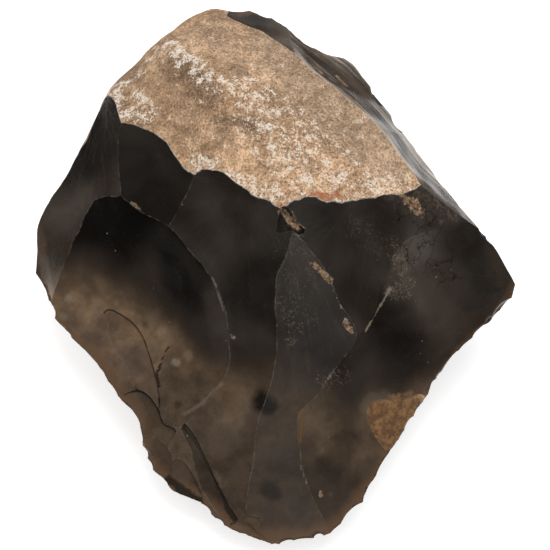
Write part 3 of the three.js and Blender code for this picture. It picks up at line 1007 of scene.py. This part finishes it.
def smoothLoop(points, parts=5):
    # a closed curve through points, with so many parts from one to the next
    points = np.asarray(points, float)
    before, after, beyond = (np.roll(points, k, axis=0) for k in (1, -1, -2))
    out = []
    for t in np.linspace(0, 1, parts, endpoint=False):
        out.append(0.5 * (2 * points + (after - before) * t
                          + (2 * before - 5 * points + 4 * after - beyond) * t ** 2
                          + (3 * points - before - 3 * after + beyond) * t ** 3))
    return np.stack(out, axis=1).reshape(-1, points.shape[1])


def surfaceOf(thing):
    graph = bpy.context.evaluated_depsgraph_get()
    return BVHTree.FromObject(thing, graph)


lateShape = {
    "step": 0.42,  # spacing of the points on the floor of a late scar
    "margin": 0.6,  # how far the floor reaches past the outline
    "clear": 10,  # how far the cutter reaches above the stone
    "foot": -5,  # the height that its walls come up from
    "wave": (5.0, 0.05),  # size and height of the unevenness of the floor
    "grain": 1.2,  # size of its finest lumps
}


def lateCutter(name, spots, surface, number, material, roughness=0.02):
    # a prism over the outline, whose floor lies under the stone's face by the depth asked for
    loop = smoothLoop(np.array(spots, float))
    depthAt = smoothThrough(np.array(spots, float)[:, :2], [s[2] for s in spots], plate)
    margin, step = lateShape["margin"], lateShape["step"]
    low, high = loop[:, :2].min(axis=0) - margin, loop[:, :2].max(axis=0) + margin
    xs, ys = (np.arange(low[k], high[k] + step, step) for k in (0, 1))
    x, y = (g.ravel() for g in np.meshgrid(xs, ys, indexing="ij"))
    top = stoneHigh.z / mm + lateShape["clear"]
    z = np.full(len(x), np.nan)
    for k, (px, py) in enumerate(zip(x, y)):
        hit = surface.ray_cast(Vector((px, py, top)) * mm, Vector((0, 0, -1)))[0]
        if hit is not None:
            z[k] = hit.z / mm
    z = np.where(np.isnan(z), np.nanmin(z), z) - depthAt(np.column_stack([x, y]))
    z += lumps(np.column_stack([x, y, z]), (lateShape["wave"], (lateShape["grain"], roughness)), number)
    floor = dress(blockAbove(name, xs, ys, np.column_stack([x, y, z]), top), material, number)

    area = sum(a[0] * b[1] - a[1] * b[0] for a, b in zip(loop, np.roll(loop, -1, axis=0)))
    outline = loop[::-1, :2] if area < 0 else loop[:, :2]
    n = len(outline)
    levels = (lateShape["foot"], top - 1)
    points = np.vstack([np.column_stack([outline, np.full(n, level)]) for level in levels])
    faces = [list(range(n))[::-1], list(range(n, 2 * n))]
    faces += [[k, (k + 1) % n, n + (k + 1) % n, n + k] for k in range(n)]
    prism = dress(newMesh(name + "Prism", points, faces), material, number)
    return boolean(floor, [prism], "INTERSECT")


def boolean(thing, others, operation):
    # joins or cuts with all the others at once, and clears them away
    group = bpy.data.collections.new("cutters")
    bpy.context.scene.collection.children.link(group)
    for other in others:
        bpy.context.scene.collection.objects.unlink(other)
        group.objects.link(other)
    cut = thing.modifiers.new("cut", "BOOLEAN")
    cut.operation = operation
    cut.operand_type = "COLLECTION"
    cut.collection = group
    cut.solver = "MANIFOLD"
    cut.material_mode = "TRANSFER"
    bpy.context.view_layer.update()
    mesh = bpy.data.meshes.new_from_object(thing.evaluated_get(bpy.context.evaluated_depsgraph_get()))
    thing.modifiers.clear()
    old = thing.data
    thing.data = mesh
    bpy.data.meshes.remove(old)
    for other in others:
        bpy.data.objects.remove(other)
    bpy.data.collections.remove(group)
    return thing


stone = dress(nodule(), rind)
print("nodule drawn:", len(stone.data.polygons), "faces")

cutters = [dress(scarCutter(name, scar, k), flint, k) for k, (name, scar) in enumerate(scars.items())]
boolean(stone, cutters + [restBlock()], "DIFFERENCE")
print("scars struck:", len(stone.data.polygons), "faces")

surface = surfaceOf(stone)
firstLate, pitNumber, patchNumber = 60, 70, 71  # late scars are numbered from the first
late = [
    lateCutter(name, spots, surface, firstLate + k, flint)
    for k, (name, spots) in enumerate(lateScars.items())
]
late.append(lateCutter("browPit", browPit, surface, pitNumber, flint, roughness=0.7))
late.append(lateCutter("oldPatch", oldPatch, surface, patchNumber, rind, roughness=0.25))
boolean(stone, late, "DIFFERENCE")
print("late scars struck:", len(stone.data.polygons), "faces")

chipped = chips(rimChips) + chips(backChips) + bites(edgeBites) + chipsAtRind(stone, borderChips)
boolean(stone, chipped, "DIFFERENCE")
print("edges chipped:", len(stone.data.polygons), "faces")


edgeLook = {
    "sliver": 0.01,  # shorter edges than this are closed up
    "smooth": 24,  # in degrees: faces that bend less than this run into each other
    "crisp": 4,  # but the border of two cuts is crisp from here
    "ridgeHighlight": 5,  # a ridge between two cuts gets a painted highlight from here
    "folded": 35,  # painted shade lies in folds sharper than this
}


def tidy(thing):
    # triangles only, no slivers, smooth faces with crisp arrises
    mesh = bmesh.new()
    mesh.from_mesh(thing.data)
    bmesh.ops.triangulate(mesh, faces=mesh.faces)
    bmesh.ops.dissolve_degenerate(mesh, edges=mesh.edges, dist=edgeLook["sliver"] * mm)
    bmesh.ops.triangulate(mesh, faces=mesh.faces)
    mesh.to_mesh(thing.data)
    mesh.free()
    thing.data.polygons.foreach_set("use_smooth", [True] * len(thing.data.polygons))
    thing.data.set_sharp_from_angle(angle=math.radians(edgeLook["smooth"]))
    thing.data.update()


def cutBorders(thing, foldShaded, soft):
    # sharpens the edges between cuts; gives the ends of the ridges that get a painted highlight and of the
    # folds that get painted shade
    mesh = bmesh.new()
    mesh.from_mesh(thing.data)
    layer = mesh.faces.layers.float["scar"]
    ridgeHighlight, folded = set(), set()
    for edge in mesh.edges:
        if not edge.is_manifold:
            continue
        cuts = [round(face[layer]) for face in edge.link_faces]
        bend = math.degrees(edge.calc_face_angle_signed())
        ends = [v.index for v in edge.verts]
        if bend < -edgeLook["folded"] and foldShaded.intersection(cuts):
            folded.update(ends)
        if cuts[0] == cuts[1] or soft.issuperset(cuts):
            continue
        if abs(bend) > edgeLook["crisp"]:
            edge.smooth = False
        if min(cuts) >= 0 and bend > edgeLook["ridgeHighlight"]:
            ridgeHighlight.update(ends)
    mesh.to_mesh(thing.data)
    mesh.free()
    return sorted(ridgeHighlight), sorted(folded)


tidy(stone)
print("stone tidied:", len(stone.data.polygons), "triangles")

foldShadedScars = ("stepScar", "footScar", "ridgeFlank")  # with painted shade in the fold at their foot
softScars = ("rightFace", "rightLowScar")  # they run into each other without an edge

# How strong the hackles are, that run out from where a face was struck.
hackles = {
    "leftFace": 0.45, "wedgeScar": 0.5, "rightFace": 0.12, "hollow": 0.05, "longScar": 0.15,
    "shoulderScar": 0.05, "rightLowScar": 0.15, "peakChip": 0.1,
}

# How dark the black flint and how light the pale zone is on each cut face: spots in plan, x, y, tone.
# Both tables hold painted reflection and shade as well as the flint's own colour: faces and spots are
# lighter or darker for what they mirror and how the light falls on them.
darkTones = {
    "shoulderScar": [(-25, 10, 1.25)],
    "longScar": [(-14, 5, 2.0), (-9.5, -2.5, 1.7), (-3, -13, 1.1), (-3.5, -27, 2.0)],
    "leftFace": [(-44, 24, 0.6), (-47, 13, 4.6), (-53, 4, 4.0)],
    "hollow": [
        (-32, 8, 0.1), (-25, 0, 0.1), (-30, -2, 1.6), (-17, -6, 0.2), (-14, -15, 2.2), (-45, 2, 0.6),
    ],
    "rightFace": [(15, -3, 1.5), (25, -6, 2.4), (35, 2, 2.2)],
    "wedgeScar": [(6, -10, 2.2), (5, -20, 1.5), (4, -32, 1.4)],
    "rightLowScar": [(37, -8, 4.4), (30, -20, 0.5), (18, -31, 2.0), (52, -2, 1.0)],
    "peakChip": [(-4, 51, 2.0), (-1, 48, 5.0), (2, 45, 9.0)],
}
paleTones = {
    "hollow": [(-45, -2, 1.35), (-40, -15, 1.3), (-28, -16, 1.2), (-24, -31, 0.82), (-20, -28, 0.7)],
    "leftFace": [(-50, 12, 0.9), (-55, 5, 1.85)],
    "stepScar": [(-33, -18, 1.1)],
    "footScar": [(-30, -33, 0.8)],
    "ridgeFlank": [(-15, -47, 0.5)],
    "rimFlakeHigh": [(-29, -40, 0.75)],
    "rimFlakeLow": [(-21, -48, 0.7)],
    "leftLowScar": [(-20, -45, 0.92)],
    "longScar": [(-9, -36, 1.05), (-13, -42, 0.72), (-10, -50, 0.74)],
    "wedgeScar": [(3, -34, 0.66), (2, -40, 0.74), (2, -50, 0.5), (2, -57, 0.95)],
    "rightLowScar": [(15, -40, 1.5), (12, -50, 0.6)],
}

# How light the rind is, in the same way: partly its own colour, partly painted light and shade where its
# slopes face towards or away from the light.
rindTones = [
    (-36, 33, 0.95), (-37.5, 37, 0.7), (-28, 30, 0.96), (-22, 30, 1.02), (-20, 22, 0.74), (-17, 46, 0.9),
    (-17, 41, 1.12), (-8, 35, 1.03), (-8, 26, 1.35), (-3, 31, 1.32), (0, 26, 0.78), (10, 25, 1.04),
    (11, 19, 0.82), (18, 15, 1.01), (25, 13, 1.42), (15, 6, 1.4), (10, 11, 1.3), (3.5, 5, 1.5),
    (3, 14, 1.35), (-6, 18, 0.68), (-2, 8, 1.14), (-9, 12, 1.57), (-13, 16, 0.79), (-18, 18, 1.1),
    (-44, 46, 0.78), (-50, 34, 0.95), (-30, 56, 1.0), (-18, 63, 0.75), (-6, 60, 1.05), (-8, -6, 0.8),
]

# Where the pale zone begins, as seen from above: x, y, how softly and how strongly.
cloudEdge = [
    (-60, 6, 4, 1), (-53, 3, 4, 1), (-42, -0.6, 4, 1), (-34.5, -4.1, 4, 1), (-29, -7.5, 4, 1),
    (-25.6, -12, 3.5, 0.95), (-21, -17.6, 3.5, 0.9), (-14.8, -25, 4, 0.85), (-9.5, -28, 4, 0.8),
    (-3, -31, 6, 0.7), (5, -30, 8, 0.55), (12, -34, 7, 0.45), (18, -36, 5, 0.4), (22, -31, 4, 0.45),
    (30, -27, 3, 0.4), (40, -21, 3, 0.4), (60, -12, 3, 0.4),
]

markings = {  # for each: line, width, strength
    "chalk": [
        (rindLines["crest"], 2.4, 1.0),
        (rindLines["crestFoot"], 5.5, 0.8),
        (rindLines["rightCrest"], 1.0, 1.1),
        (rindLines["paleLine"], 0.7, 0.85),
        ([(-38.4, 36.6, 55.9), (-37.4, 32.1, 57.3), (-36.8, 28.5, 57.4)], 1.9, 1.25),
        ([(-28.1, 44.9, 63.4), (-36, 39, 58), (-41, 35.5, 54)], 2.2, 1.1),
        ([(-34.1, 27, 58.3), (-31.7, 25.8, 58.8), (-29.3, 26.4, 60)], 1.8, 1.05),
        ([(-33.5, 31.5, 59.4), (-31, 29.1, 60.2)], 1.6, 0.95),
        ([(-18, 12, 59), (-8, 5.5, 60.5), (2, 0, 61.5)], 2.6, 1.0),
        ([(2, 0, 61.5), (12, 4.5, 60.5), (31, 10, 54)], 3.5, 0.8),
        ([(2, 24, 67), (12, 14, 63)], 3.0, 0.8),
        ([(31, 9, 54.5), (34, 11, 52)], 1.8, 0.9),
        ([(21.2, 25.6, 60.4), (22.2, 24.9, 60)], 0.4, 1.0),
        ([(-30, 52, 40), (-20, 58, 46), (-10, 58, 48)], 7.0, 0.75),
        ([(-46, 38, 34), (-42, 44, 26)], 5.0, 0.6),
        ([(-14, 56, 16), (-2, 54, 24)], 6.0, 0.65),
    ],
    # painted shade in the rind's valley and step and on the slope left of the crest; the two wide lines
    # low on the back are darker stains
    "shade": [
        (rindLines["valley"], 3.0, 1.0),
        ([(-34, 33, 59), (-25, 29, 62), (-18, 21, 64)], 6.5, 0.12),
        (rindLines["step"], 1.2, 1.0),
        ([(-12, 18, 66), (-9, 12, 63)], 2.0, 0.5),
        ([(-36, 46, 52), (-24, 54, 50), (-16, 60, 34)], 7.0, 0.6),
        ([(-50, 30, 12), (-34, 42, 8), (-10, 50, 8)], 7.0, 0.8),
        ([(3, 14, 65.5), (9, 8.5, 63)], 2.0, 0.45),
    ],
    "rindRust": [
        ([(8.5, 1.6, 60.8), (14.5, 3.0, 60)], 1.4, 1.1),
        ([(5.5, 0.9, 61), (19, 4.6, 58.5)], 1.1, 0.8),
        ([(0.4, -0.9, 61.3), (3.2, -0.9, 61.3)], 1.4, 1.0),
        ([(-22.5, 15.5, 58.3), (-21.5, 15.0, 58.3)], 0.6, 0.9),
    ],
    "soot": [
        ([(-2, 40, 68), (8, 24, 66), (22, 15, 60)], 7.0, 0.75),
        ([(-14, 41, 69), (-8, 33, 69.5)], 4.0, 0.8),
        ([(2, 18, 66), (14, 8, 62)], 5.0, 0.6),
        ([(-30, 44, 62), (-24, 41, 66)], 1.6, 0.8),
        ([(-24, 53, 56), (-10, 60, 44), (-12, 58, 26)], 8.0, 0.7),
    ],
    "greyRind": [
        ([(-14, 44, 69), (-8, 36, 69.5)], 6.0, 0.55),
        ([(-1, 43, 66), (7, 33, 65), (16, 23, 62), (26, 15, 57)], 6.5, 0.95),
    ],
    "tanned": [([(24, -33, 19), (30, -32, 16), (27, -36, 14)], 9.0, 1.0)],
    "darkSpot": [
        ([(-3.4, -34.6, 29.8), (-1.6, -35.8, 28.8)], 2.1, 0.95),
        ([(-1.6, -51.2, 15.4), (-0.6, -51.8, 14.6)], 1.9, 0.6),
        ([(-31.5, -10.2, 22.8), (-31.4, -10.4, 22.8)], 0.9, 0.5),
        ([(-23.2, -31.2, 20.8), (-23.1, -31.3, 20.8)], 0.9, 0.5),
        ([(14, -46, 18), (17, -41, 19)], 3.5, 0.45),
    ],
    "milkyAndHighlight": [
        ([(-8.3, -34.7, 27), (-10.7, -39.2, 22.9), (-14.2, -40.5, 20.3)], 3.4, 0.12),
        # painted highlight along the inside of the hollow's rim
        ([(-26, 0.5, 44.5), (-20.5, -6.5, 42), (-16, -12.5, 39), (-13.6, -18, 35), (-12.8, -24, 31)],
         2.8, 0.05),
        ([(-50.8, -1.4, 20.8), (-50.6, -1.6, 20.8)], 0.8, 0.7),
        ([(-52.3, -4.8, 17.7), (-51.6, -5, 17.7)], 0.9, 0.5),
        ([(-24.2, -20.6, 23.3), (-23.2, -21.2, 23.4)], 0.7, 0.9),
        ([(-29.2, -15.0, 22), (-28.8, -15.6, 22)], 1.0, 0.25),
        ([(-27.5, -12.6, 24), (-25.5, -15.2, 24)], 1.3, 0.3),
        ([(-21, -20, 25.8), (-20.5, -20.4, 25.8)], 1.0, 0.35),
        ([(-38.7, -4.4, 23.8), (-38.6, -4.7, 23.8)], 0.6, 0.35),
        ([(-21.5, -34.0, 21.3), (-17.8, -33.0, 23.9), (-13.0, -29.6, 27.9)], 0.35, 0.45),
        ([(21.4, -32.6, 22.5), (23, -30.6, 23), (26.3, -29.4, 21.4)], 1.6, 0.22),
        ([(13.3, -51.6, 13.5), (13.5, -52.2, 13.2)], 0.6, 0.5),
    ],
    "crumb": [
        ([(9.1, -10.8, 51.5), (12.9, -13.4, 48.3)], 0.8, 1.0),
        ([(16.6, -20.2, 40.8), (18.0, -21.8, 38.8)], 1.0, 1.0),
        ([(-34.2, 9.5, 46.8), (-32.2, 7.9, 46.4)], 0.55, 1.0),
        ([(-10.4, -20.4, 35.1), (-9.9, -20.7, 34.8)], 0.5, 1.0),
        ([(2, -2.5, 60), (5.8, -5.2, 58)], 1.6, 0.9),
        ([(8.5, 40.3, 61.5), (10.1, 38.3, 61.7), (11.5, 36.8, 61.7)], 0.6, 0.85),
        ([(14.7, 38.3, 59.4), (17.3, 35.7, 58.9)], 0.9, 0.85),
        ([(30.5, 7.4, 53), (33.5, 6.0, 49.5), (36, 6.5, 48)], 1.8, 0.85),
        ([(13.5, -15, 47), (15.5, -18, 43.5)], 0.35, 0.7),
        ([(-35, -29, 13.8), (-32.5, -33.5, 13)], 0.9, 0.8),
        ([(10.9, -51.1, 13.9), (10.9, -52.0, 13.6)], 0.45, 1.0),
    ],
    "streak": [
        # painted highlight along the inside of the hollow's rim; the other streaks are pale lines on the
        # stone
        ([(-14.9, -9.2, 43.2), (-12.6, -15.1, 39.2), (-11.8, -21.1, 33.6)], 0.5, 0.6),
        ([(27.2, -10.9, 40.6), (21.2, -20.4, 37.4)], 0.42, 0.95),
        ([(21.2, -20.4, 37.4), (14.8, -28, 34.6), (10.4, -33, 30.6)], 0.3, 0.7),
        ([(6.0, -46.8, 19.5), (7.4, -50, 16.2)], 0.25, 0.8),
    ],
    "rust": [
        ([(7.5, -35.8, 28.5), (5.7, -37.4, 27.5), (6.4, -39.5, 25.8), (5.9, -42.5, 23.5)], 0.4, 0.95),
        ([(5.9, -42.5, 23.5), (6.2, -45, 21)], 0.3, 0.7),
        ([(11.4, -32, 31.3), (7.5, -35.8, 28.5)], 0.5, 0.6),
        ([(31.5, -28.2, 16.3), (34.5, -26.4, 15.6)], 0.8, 1.0),
    ],
    "dust": [
        ([(29.1, -4.5, 44.2), (30.4, -6.2, 41.5)], 2.2, 0.9),
        ([(27.7, -10.8, 40), (31.7, -8.4, 37.9)], 2.4, 0.8),
        ([(12.5, -31, 32), (15, -30, 32)], 3.0, 0.6),
        ([(3, -18, 46), (4.5, -24, 40)], 2.5, 0.55),
        ([(5, -9, 53), (6, -20, 43)], 4.5, 0.4),
        ([(18, -1.5, 53.5), (24, -3.5, 49), (29, -4, 45.5)], 3.2, 0.45),
    ],
    "tannedEdge": [
        ([(24, -33.5, 21), (28, -30, 19.5), (34, -27, 16.5)], 2.0, 0.9),
        ([(35.5, 11, 50.3), (39, 10, 47), (43.5, 9.5, 42)], 1.5, 0.9),
    ],
    "amber": [
        ([(50, -10, 21), (57, -4.1, 23), (58.5, 0, 25), (55, 4.5, 30)], 4.5, 0.1),
        ([(54, -6.5, 22), (58.5, 0, 25)], 1.4, 0.35),
        ([(29, -38, 13.2), (38.2, -23.9, 16.2), (46.2, -14, 19.2), (54, -7, 22)], 1.3, 0.4),
        ([(-59, 16, 24), (-57.5, 10, 20.5), (-55.5, 4, 18)], 2.2, 0.35),
        ([(-10, 53, 65), (-7, 54, 64), (-4.9, 54.8, 63.2), (-2.5, 54, 62.2)], 1.2, 0.75),
        ([(6, 50.5, 58.5), (8.4, 48.6, 57), (14, 46.5, 55.8), (17.7, 45.3, 55)], 0.9, 0.7),
    ],
    "stripCore": [
        ([(6, 45, 61), (11, 42, 60), (15, 39, 59), (21, 36, 55)], 4.2, 0.9),
        ([(14, 40, 59.5), (22, 32, 57), (30, 23, 52.5)], 0.8, 0.9),
        ([(30, 23, 52.5), (34, 18.5, 50)], 0.8, 0.9),
        ([(34.5, 12.5, 51.5), (39.5, 11.5, 47), (46, 10.2, 39)], 1.9, 1.0),
    ],
    # painted shadow beside the low ridges, along the steps and under the ledge at the lower left
    "dirt": [
        ([(-21.4, -37, 19.7), (-18.4, -40.4, 17.9), (-14.8, -46.9, 13.6), (-11.2, -53.2, 9.9)], 0.55, 1.0),
        ([(-11.6, -53.2, 9.9), (-9.7, -55.8, 9.0)], 0.8, 0.8),
        ([(-27.9, -28, 18), (-26.9, -33.6, 17)], 0.4, 0.9),
        ([(-37.5, -7, 23), (-34.2, -9.2, 23.5), (-32, -12.5, 23.3), (-30.6, -16.2, 22.9)], 0.5, 1.0),
        ([(-30.6, -16.2, 22.9), (-29.3, -20.6, 21.6), (-28.1, -25.4, 19.5)], 0.55, 1.0),
        ([(-25.5, -45.5, 10), (-18.5, -51, 9)], 1.2, 0.7),
        ([(-28.4, -23, 19.8), (-27.2, -19.6, 21.6), (-25.8, -16.8, 23.5)], 0.3, 0.8),
    ],
    "cracked": [
        ([(33, -1, 44), (38, 0, 40), (41, -1, 36)], 5.0, 0.9),
        ([(31, 4, 50), (36, 5, 45)], 3.5, 0.9),
        ([(30, -33, 14), (33, -30, 14)], 2.0, 0.9),
    ],
    "weathered": [
        ([(28, 6, 54), (34, 7, 49.5), (41, 9, 43.5)], 3.0, 0.6),
        ([(34.5, 11.6, 51.3), (43.3, 9.5, 41.8)], 2.2, 1.0),
        ([(36, 0, 42), (42, 1, 37)], 4.0, 0.35),
    ],
    # painted sheen along the strip down the back, brightest by the rind's edge and by its outer edge
    "paintedSheen": [
        ([(4, 43, 64), (9, 36, 63.5), (18, 29, 61.5), (26.5, 21.5, 57.5)], 1.7, 0.9),
        ([(26.5, 21.5, 57.5), (30, 17.5, 55), (33, 16, 52.5), (39, 15, 46.5), (46, 12, 39.5)], 1.1, 0.9),
        ([(31, 29, 49), (37, 22, 44.5), (43, 16.5, 40.5)], 1.6, 0.5),
        ([(48, 8.5, 37), (50, 4.9, 33)], 0.4, 0.3),
    ],
}


def paint(thing, name, values, domain="POINT"):
    layer = thing.data.attributes.new(name, "FLOAT", domain)
    layer.data.foreach_set("value", np.asarray(values, np.float32))


def read(collection, key, width=1, kind=np.float32):
    # one value, or a row of them, for each item of a mesh
    values = np.empty(len(collection) * width, kind)
    collection.foreach_get(key, values)
    return values.reshape(-1, width) if width > 1 else values


def distanceTo(points, others, missing=40.0):
    # from each point to the nearest of the others
    if not len(others):
        return np.full(len(points), missing)
    tree = KDTree(len(others))
    for k, other in enumerate(others):
        tree.insert(other, k)
    tree.balance()
    return np.array([tree.find(p)[2] for p in points])


numbers = {name: k for k, name in enumerate(scars)}
numbers.update({name: k for k, name in enumerate(lateScars, firstLate)})
foldShaded, soft = ({numbers[name] for name in names} for names in (foldShadedScars, softScars))
ridgeHighlight, folded = cutBorders(stone, foldShaded, soft)

mesh = stone.data
coords = read(mesh.vertices, "co", 3)
spots = coords.astype(float) / mm

brush = {
    "wobble": ((3.0, 0.5), (1.1, 0.3)),  # size and height of the waver in the edge of a marking
    "markEdge": (1.6, 0.5),  # where a marking ends and is whole, in widths from its line
    "cloudWander": ((9.0, 1.6), (3.0, 0.6)),
    "cloudFade": (-1, 1.4),  # where the pale zone begins and is whole, times its softness
    "haze": (-8, -3),  # the same for the haze before it, in millimetres
    "hazeStrength": 0.85,
    "cloudDeep": (2, 14),  # how far inside the pale zone it is shallow and deep
    "streakLength": 14,
    "underFace": 0.05,  # how far under its face the stone's thickness is measured from
    "thickest": 40,  # beyond this the thickness makes no difference
    "rindNear": 4,  # how far under the rind its bumps are still worked out
    "fanTurn": 22,  # hackles in one radian round the blow
    "fanShift": 50,  # so that no two scars have the same hackles
    "hackleLength": 9,
    "hackleFade": 22,
    "hackle": 0.4,  # on the scars that the list of hackles leaves out
}

for number, (name, lines) in enumerate(markings.items()):
    amount = np.zeros(len(spots))
    wobble = lumps(spots, brush["wobble"], seed=number)
    for line, width, strength in lines:
        far = lineDistance(spots, line) / width + wobble
        amount = np.maximum(amount, strength * ease(far, *brush["markEdge"]))
    paint(stone, name, amount)

edgeX, edgeY, softAt, strongAt = np.array(cloudEdge, float).T
wander = lumps(spots, brush["cloudWander"], 5)
below = np.interp(spots[:, 0], edgeX, edgeY) - spots[:, 1] + wander
softness = np.interp(spots[:, 0], edgeX, softAt)
strength = np.interp(spots[:, 0], edgeX, strongAt)
paint(stone, "cloud", strength * ease(below / softness, *brush["cloudFade"]))
paint(stone, "haze", brush["hazeStrength"] * strength * ease(below, *brush["haze"]))
paint(stone, "cloudDepth", ease(below, *brush["cloudDeep"]))
backEdge = places("backNotch backEdgeHigh backEdgeMiddle backEdgeLow rightShoulder rightTipTop")
paint(stone, "stripAcross", lineDistance(spots, backEdge))
paint(stone, "stripAlong", spots[:, 0] / brush["streakLength"])

arms = spots - heart
reach = np.linalg.norm(arms, axis=1)
ways = arms / reach[:, None]
sunk = noduleRadius(ways) - reach
near = np.nonzero(sunk < brush["rindNear"])[0]
skin = heart + ways[near] * noduleRadius(ways[near])[:, None]
sunk[near] += rindHeight(skin)
paint(stone, "rindDepth", sunk)

# how far each point is from the ridges that get a painted highlight and from the folds that get painted
# shade
paint(stone, "arris", distanceTo(spots, spots[ridgeHighlight]))
paint(stone, "crease", distanceTo(spots, spots[folded]))

surface = surfaceOf(stone)
thickness = np.full(len(spots), float(brush["thickest"]))
for k, (p, n) in enumerate(zip(coords, read(mesh.vertex_normals, "vector", 3))):
    inward = -Vector(n)
    start = Vector(p) + inward * brush["underFace"] * mm
    hit = surface.ray_cast(start, inward, brush["thickest"] * mm)
    if hit[0] is not None:
        thickness[k] = hit[3] / mm
paint(stone, "thickness", thickness)

# Polar places on each scar, round the point where it was struck, for its ripples and hackles.
madeBy = np.round(read(mesh.attributes["scar"].data, "value")).astype(int)
ends = read(mesh.loops, "vertex_index", kind=np.int32)
cornerSpots, cornerScar = spots[ends], np.repeat(madeBy, 3)
away, fan, hackle = np.zeros((3, len(ends)))
for number, (name, scar) in enumerate(scars.items()):
    middle, axes = scarPlane(np.array(places(scar["round"]), float))
    struck = np.array(corner[scar["struck"]], float)
    mine = cornerScar == number
    u, v = ((cornerSpots[mine] - struck) @ axes.T)[:, :2].T
    ahead, aside = ((middle - struck) @ axes.T)[:2]
    length = math.hypot(ahead, aside)
    forward, sideways = (u * ahead + v * aside) / length, (v * ahead - u * aside) / length
    fan[mine] = brush["fanTurn"] * np.arctan2(sideways, forward) + number * brush["fanShift"]
    away[mine] = np.hypot(u, v) / brush["hackleLength"]
    hackle[mine] = hackles.get(name, brush["hackle"]) * np.exp(-np.hypot(u, v) / brush["hackleFade"])
strips = [numbers["backStrip"], numbers["backStripLow"]]
paint(stone, "strip", np.isin(cornerScar, strips), "CORNER")
paint(stone, "hackle", hackle, "CORNER")
paint(stone, "away", away, "CORNER")
paint(stone, "fan", fan, "CORNER")


def toneAt(points, spread, core=1, power=3):
    # the tones of the spots, each felt most close by
    x, y, value = np.array(spread, float).T
    near = 1 / (np.hypot(points[:, 0, None] - x, points[:, 1, None] - y) + core) ** power
    return (value * near).sum(axis=1) / near.sum(axis=1)


# the tones carry painted reflection and shade as well as the flint's own colour
for layer, tones in (("darkTone", darkTones), ("paleTone", paleTones)):
    tone = np.ones(len(ends))
    for name, spread in tones.items():
        mine = cornerScar == numbers[name]
        tone[mine] = toneAt(cornerSpots[mine], spread)
    paint(stone, layer, tone, "CORNER")
paint(stone, "rindTone", toneAt(spots, rindTones))
print("markings placed")

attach(stone, "root")
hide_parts("flint_core")

studio = {
    "elevation": 58,  # of the camera, in degrees
    "distance": 0.66,
    "aim": (0, -3.5, 35),
    "lens": 180,
    "sensor": 36,
    "sees": (0.01, 20),
    "key": {"from": (0.12, 0.22, 0.95), "distance": 0.95, "size": 0.75, "watts": 3.3},
    "air": 0.92,  # the even light that comes from all round
    "room": 0.022,  # what polished faces mirror where no card stands
    "cards": {  # what else they mirror: azimuth, elevation, half width in degrees, brightness
        "front": (12, 33, 26, 0.31),
        "back": (165, 25, 55, 0.55),
    },
    "cardSoftness": (1.25, 0.6),  # where a card's edge ends and is whole, in half widths
    "table": {"half": 4, "pale": 0.85, "roughness": 0.9, "glow": 0.56},
    "litCentre": (-4, 62, 0),  # the only part of the table that polished faces mirror
    "litRadius": 110,
    "litEdge": 12,  # how softly it ends
}


def tableMaterial():
    # pale all over to the eye, but polished faces mirror only the lit part round the stone
    material, shader, place, _ = newMaterial("table")
    table, radius, edge = studio["table"], studio["litRadius"], studio["litEdge"]
    away = addNode(place.tree, "VectorMath", place, studio["litCentre"], outlet="Value",
                   operation="DISTANCE")
    unlit = band(away, radius - edge, radius + edge)
    hidden = addNode(place.tree, "LightPath", outlet="Is Glossy Ray") * unlit
    plug(blend(hidden, (table["pale"],) * 3, (0, 0, 0)), shader["Base Color"])
    plug(table["roughness"], shader["Roughness"])
    plug((1, 1, 1), shader["Emission Color"])
    plug((1.0 - hidden) * table["glow"], shader["Emission Strength"])
    return material


def addFloor():
    half = studio["table"]["half"] / mm
    square = [(-half, -half, 0), (half, -half, 0), (half, half, 0), (-half, half, 0)]
    floor = dress(newMesh("floor", square, [[0, 1, 2, 3]]), tableMaterial())
    floor.location.z = stoneLow.z


def addLamp(name, spec):
    data = bpy.data.lights.new(name, "AREA")
    data.shape = "DISK"
    data.size = spec["size"]
    data.energy = spec["watts"]
    lamp = newThing(name, data)
    way = Vector(spec["from"]).normalized()
    lamp.location = Vector(studio["aim"]) * mm + way * spec["distance"]
    lamp.rotation_mode = "QUATERNION"
    lamp.rotation_quaternion = way.to_track_quat("Z", "Y")
    lamp.visible_camera = False


def addSky():
    # pale walls to the eye, even light on the stone, and soft cards for its polish to mirror
    world = bpy.data.worlds.new("studio")
    world.use_nodes = True
    bpy.context.scene.world = world
    tree = world.node_tree
    tree.nodes.clear()
    direction = addNode(tree, "TexCoord")
    mirrored = studio["room"]
    for azimuth, elevation, half, brightness in studio["cards"].values():
        a, e = math.radians(azimuth), math.radians(elevation)
        way = (math.sin(a) * math.cos(e), -math.cos(a) * math.cos(e), math.sin(e))
        facing = addNode(tree, "VectorMath", direction, way, outlet="Value", operation="DOT_PRODUCT")
        outer, inner = (math.cos(math.radians(half * k)) for k in studio["cardSoftness"])
        mirrored = band(facing, outer, inner, 0, brightness) + mirrored
    glossy = addNode(tree, "LightPath", outlet="Is Glossy Ray")
    strength = mirrored * glossy + (1.0 - glossy) * studio["air"]
    strength = maths("MAXIMUM", strength, addNode(tree, "LightPath", outlet="Is Camera Ray"))
    addNode(tree, "OutputWorld", addNode(tree, "Background", Strength=strength))


def addCamera():
    data = bpy.data.cameras.new("camera")
    data.lens = studio["lens"]
    data.sensor_width = studio["sensor"]
    data.clip_start, data.clip_end = studio["sees"]
    camera = newThing("camera", data)
    tilt = math.radians(studio["elevation"])
    back = Vector((0, -math.cos(tilt), math.sin(tilt)))
    camera.location = Vector(studio["aim"]) * mm + back * studio["distance"]
    camera.rotation_mode = "QUATERNION"
    camera.rotation_quaternion = back.to_track_quat("Z", "Y")
    bpy.context.scene.camera = camera


addFloor()
addLamp("key", studio["key"])
addSky()
addCamera()
bpy.context.scene.view_settings.view_transform = "Standard"
print("studio set")
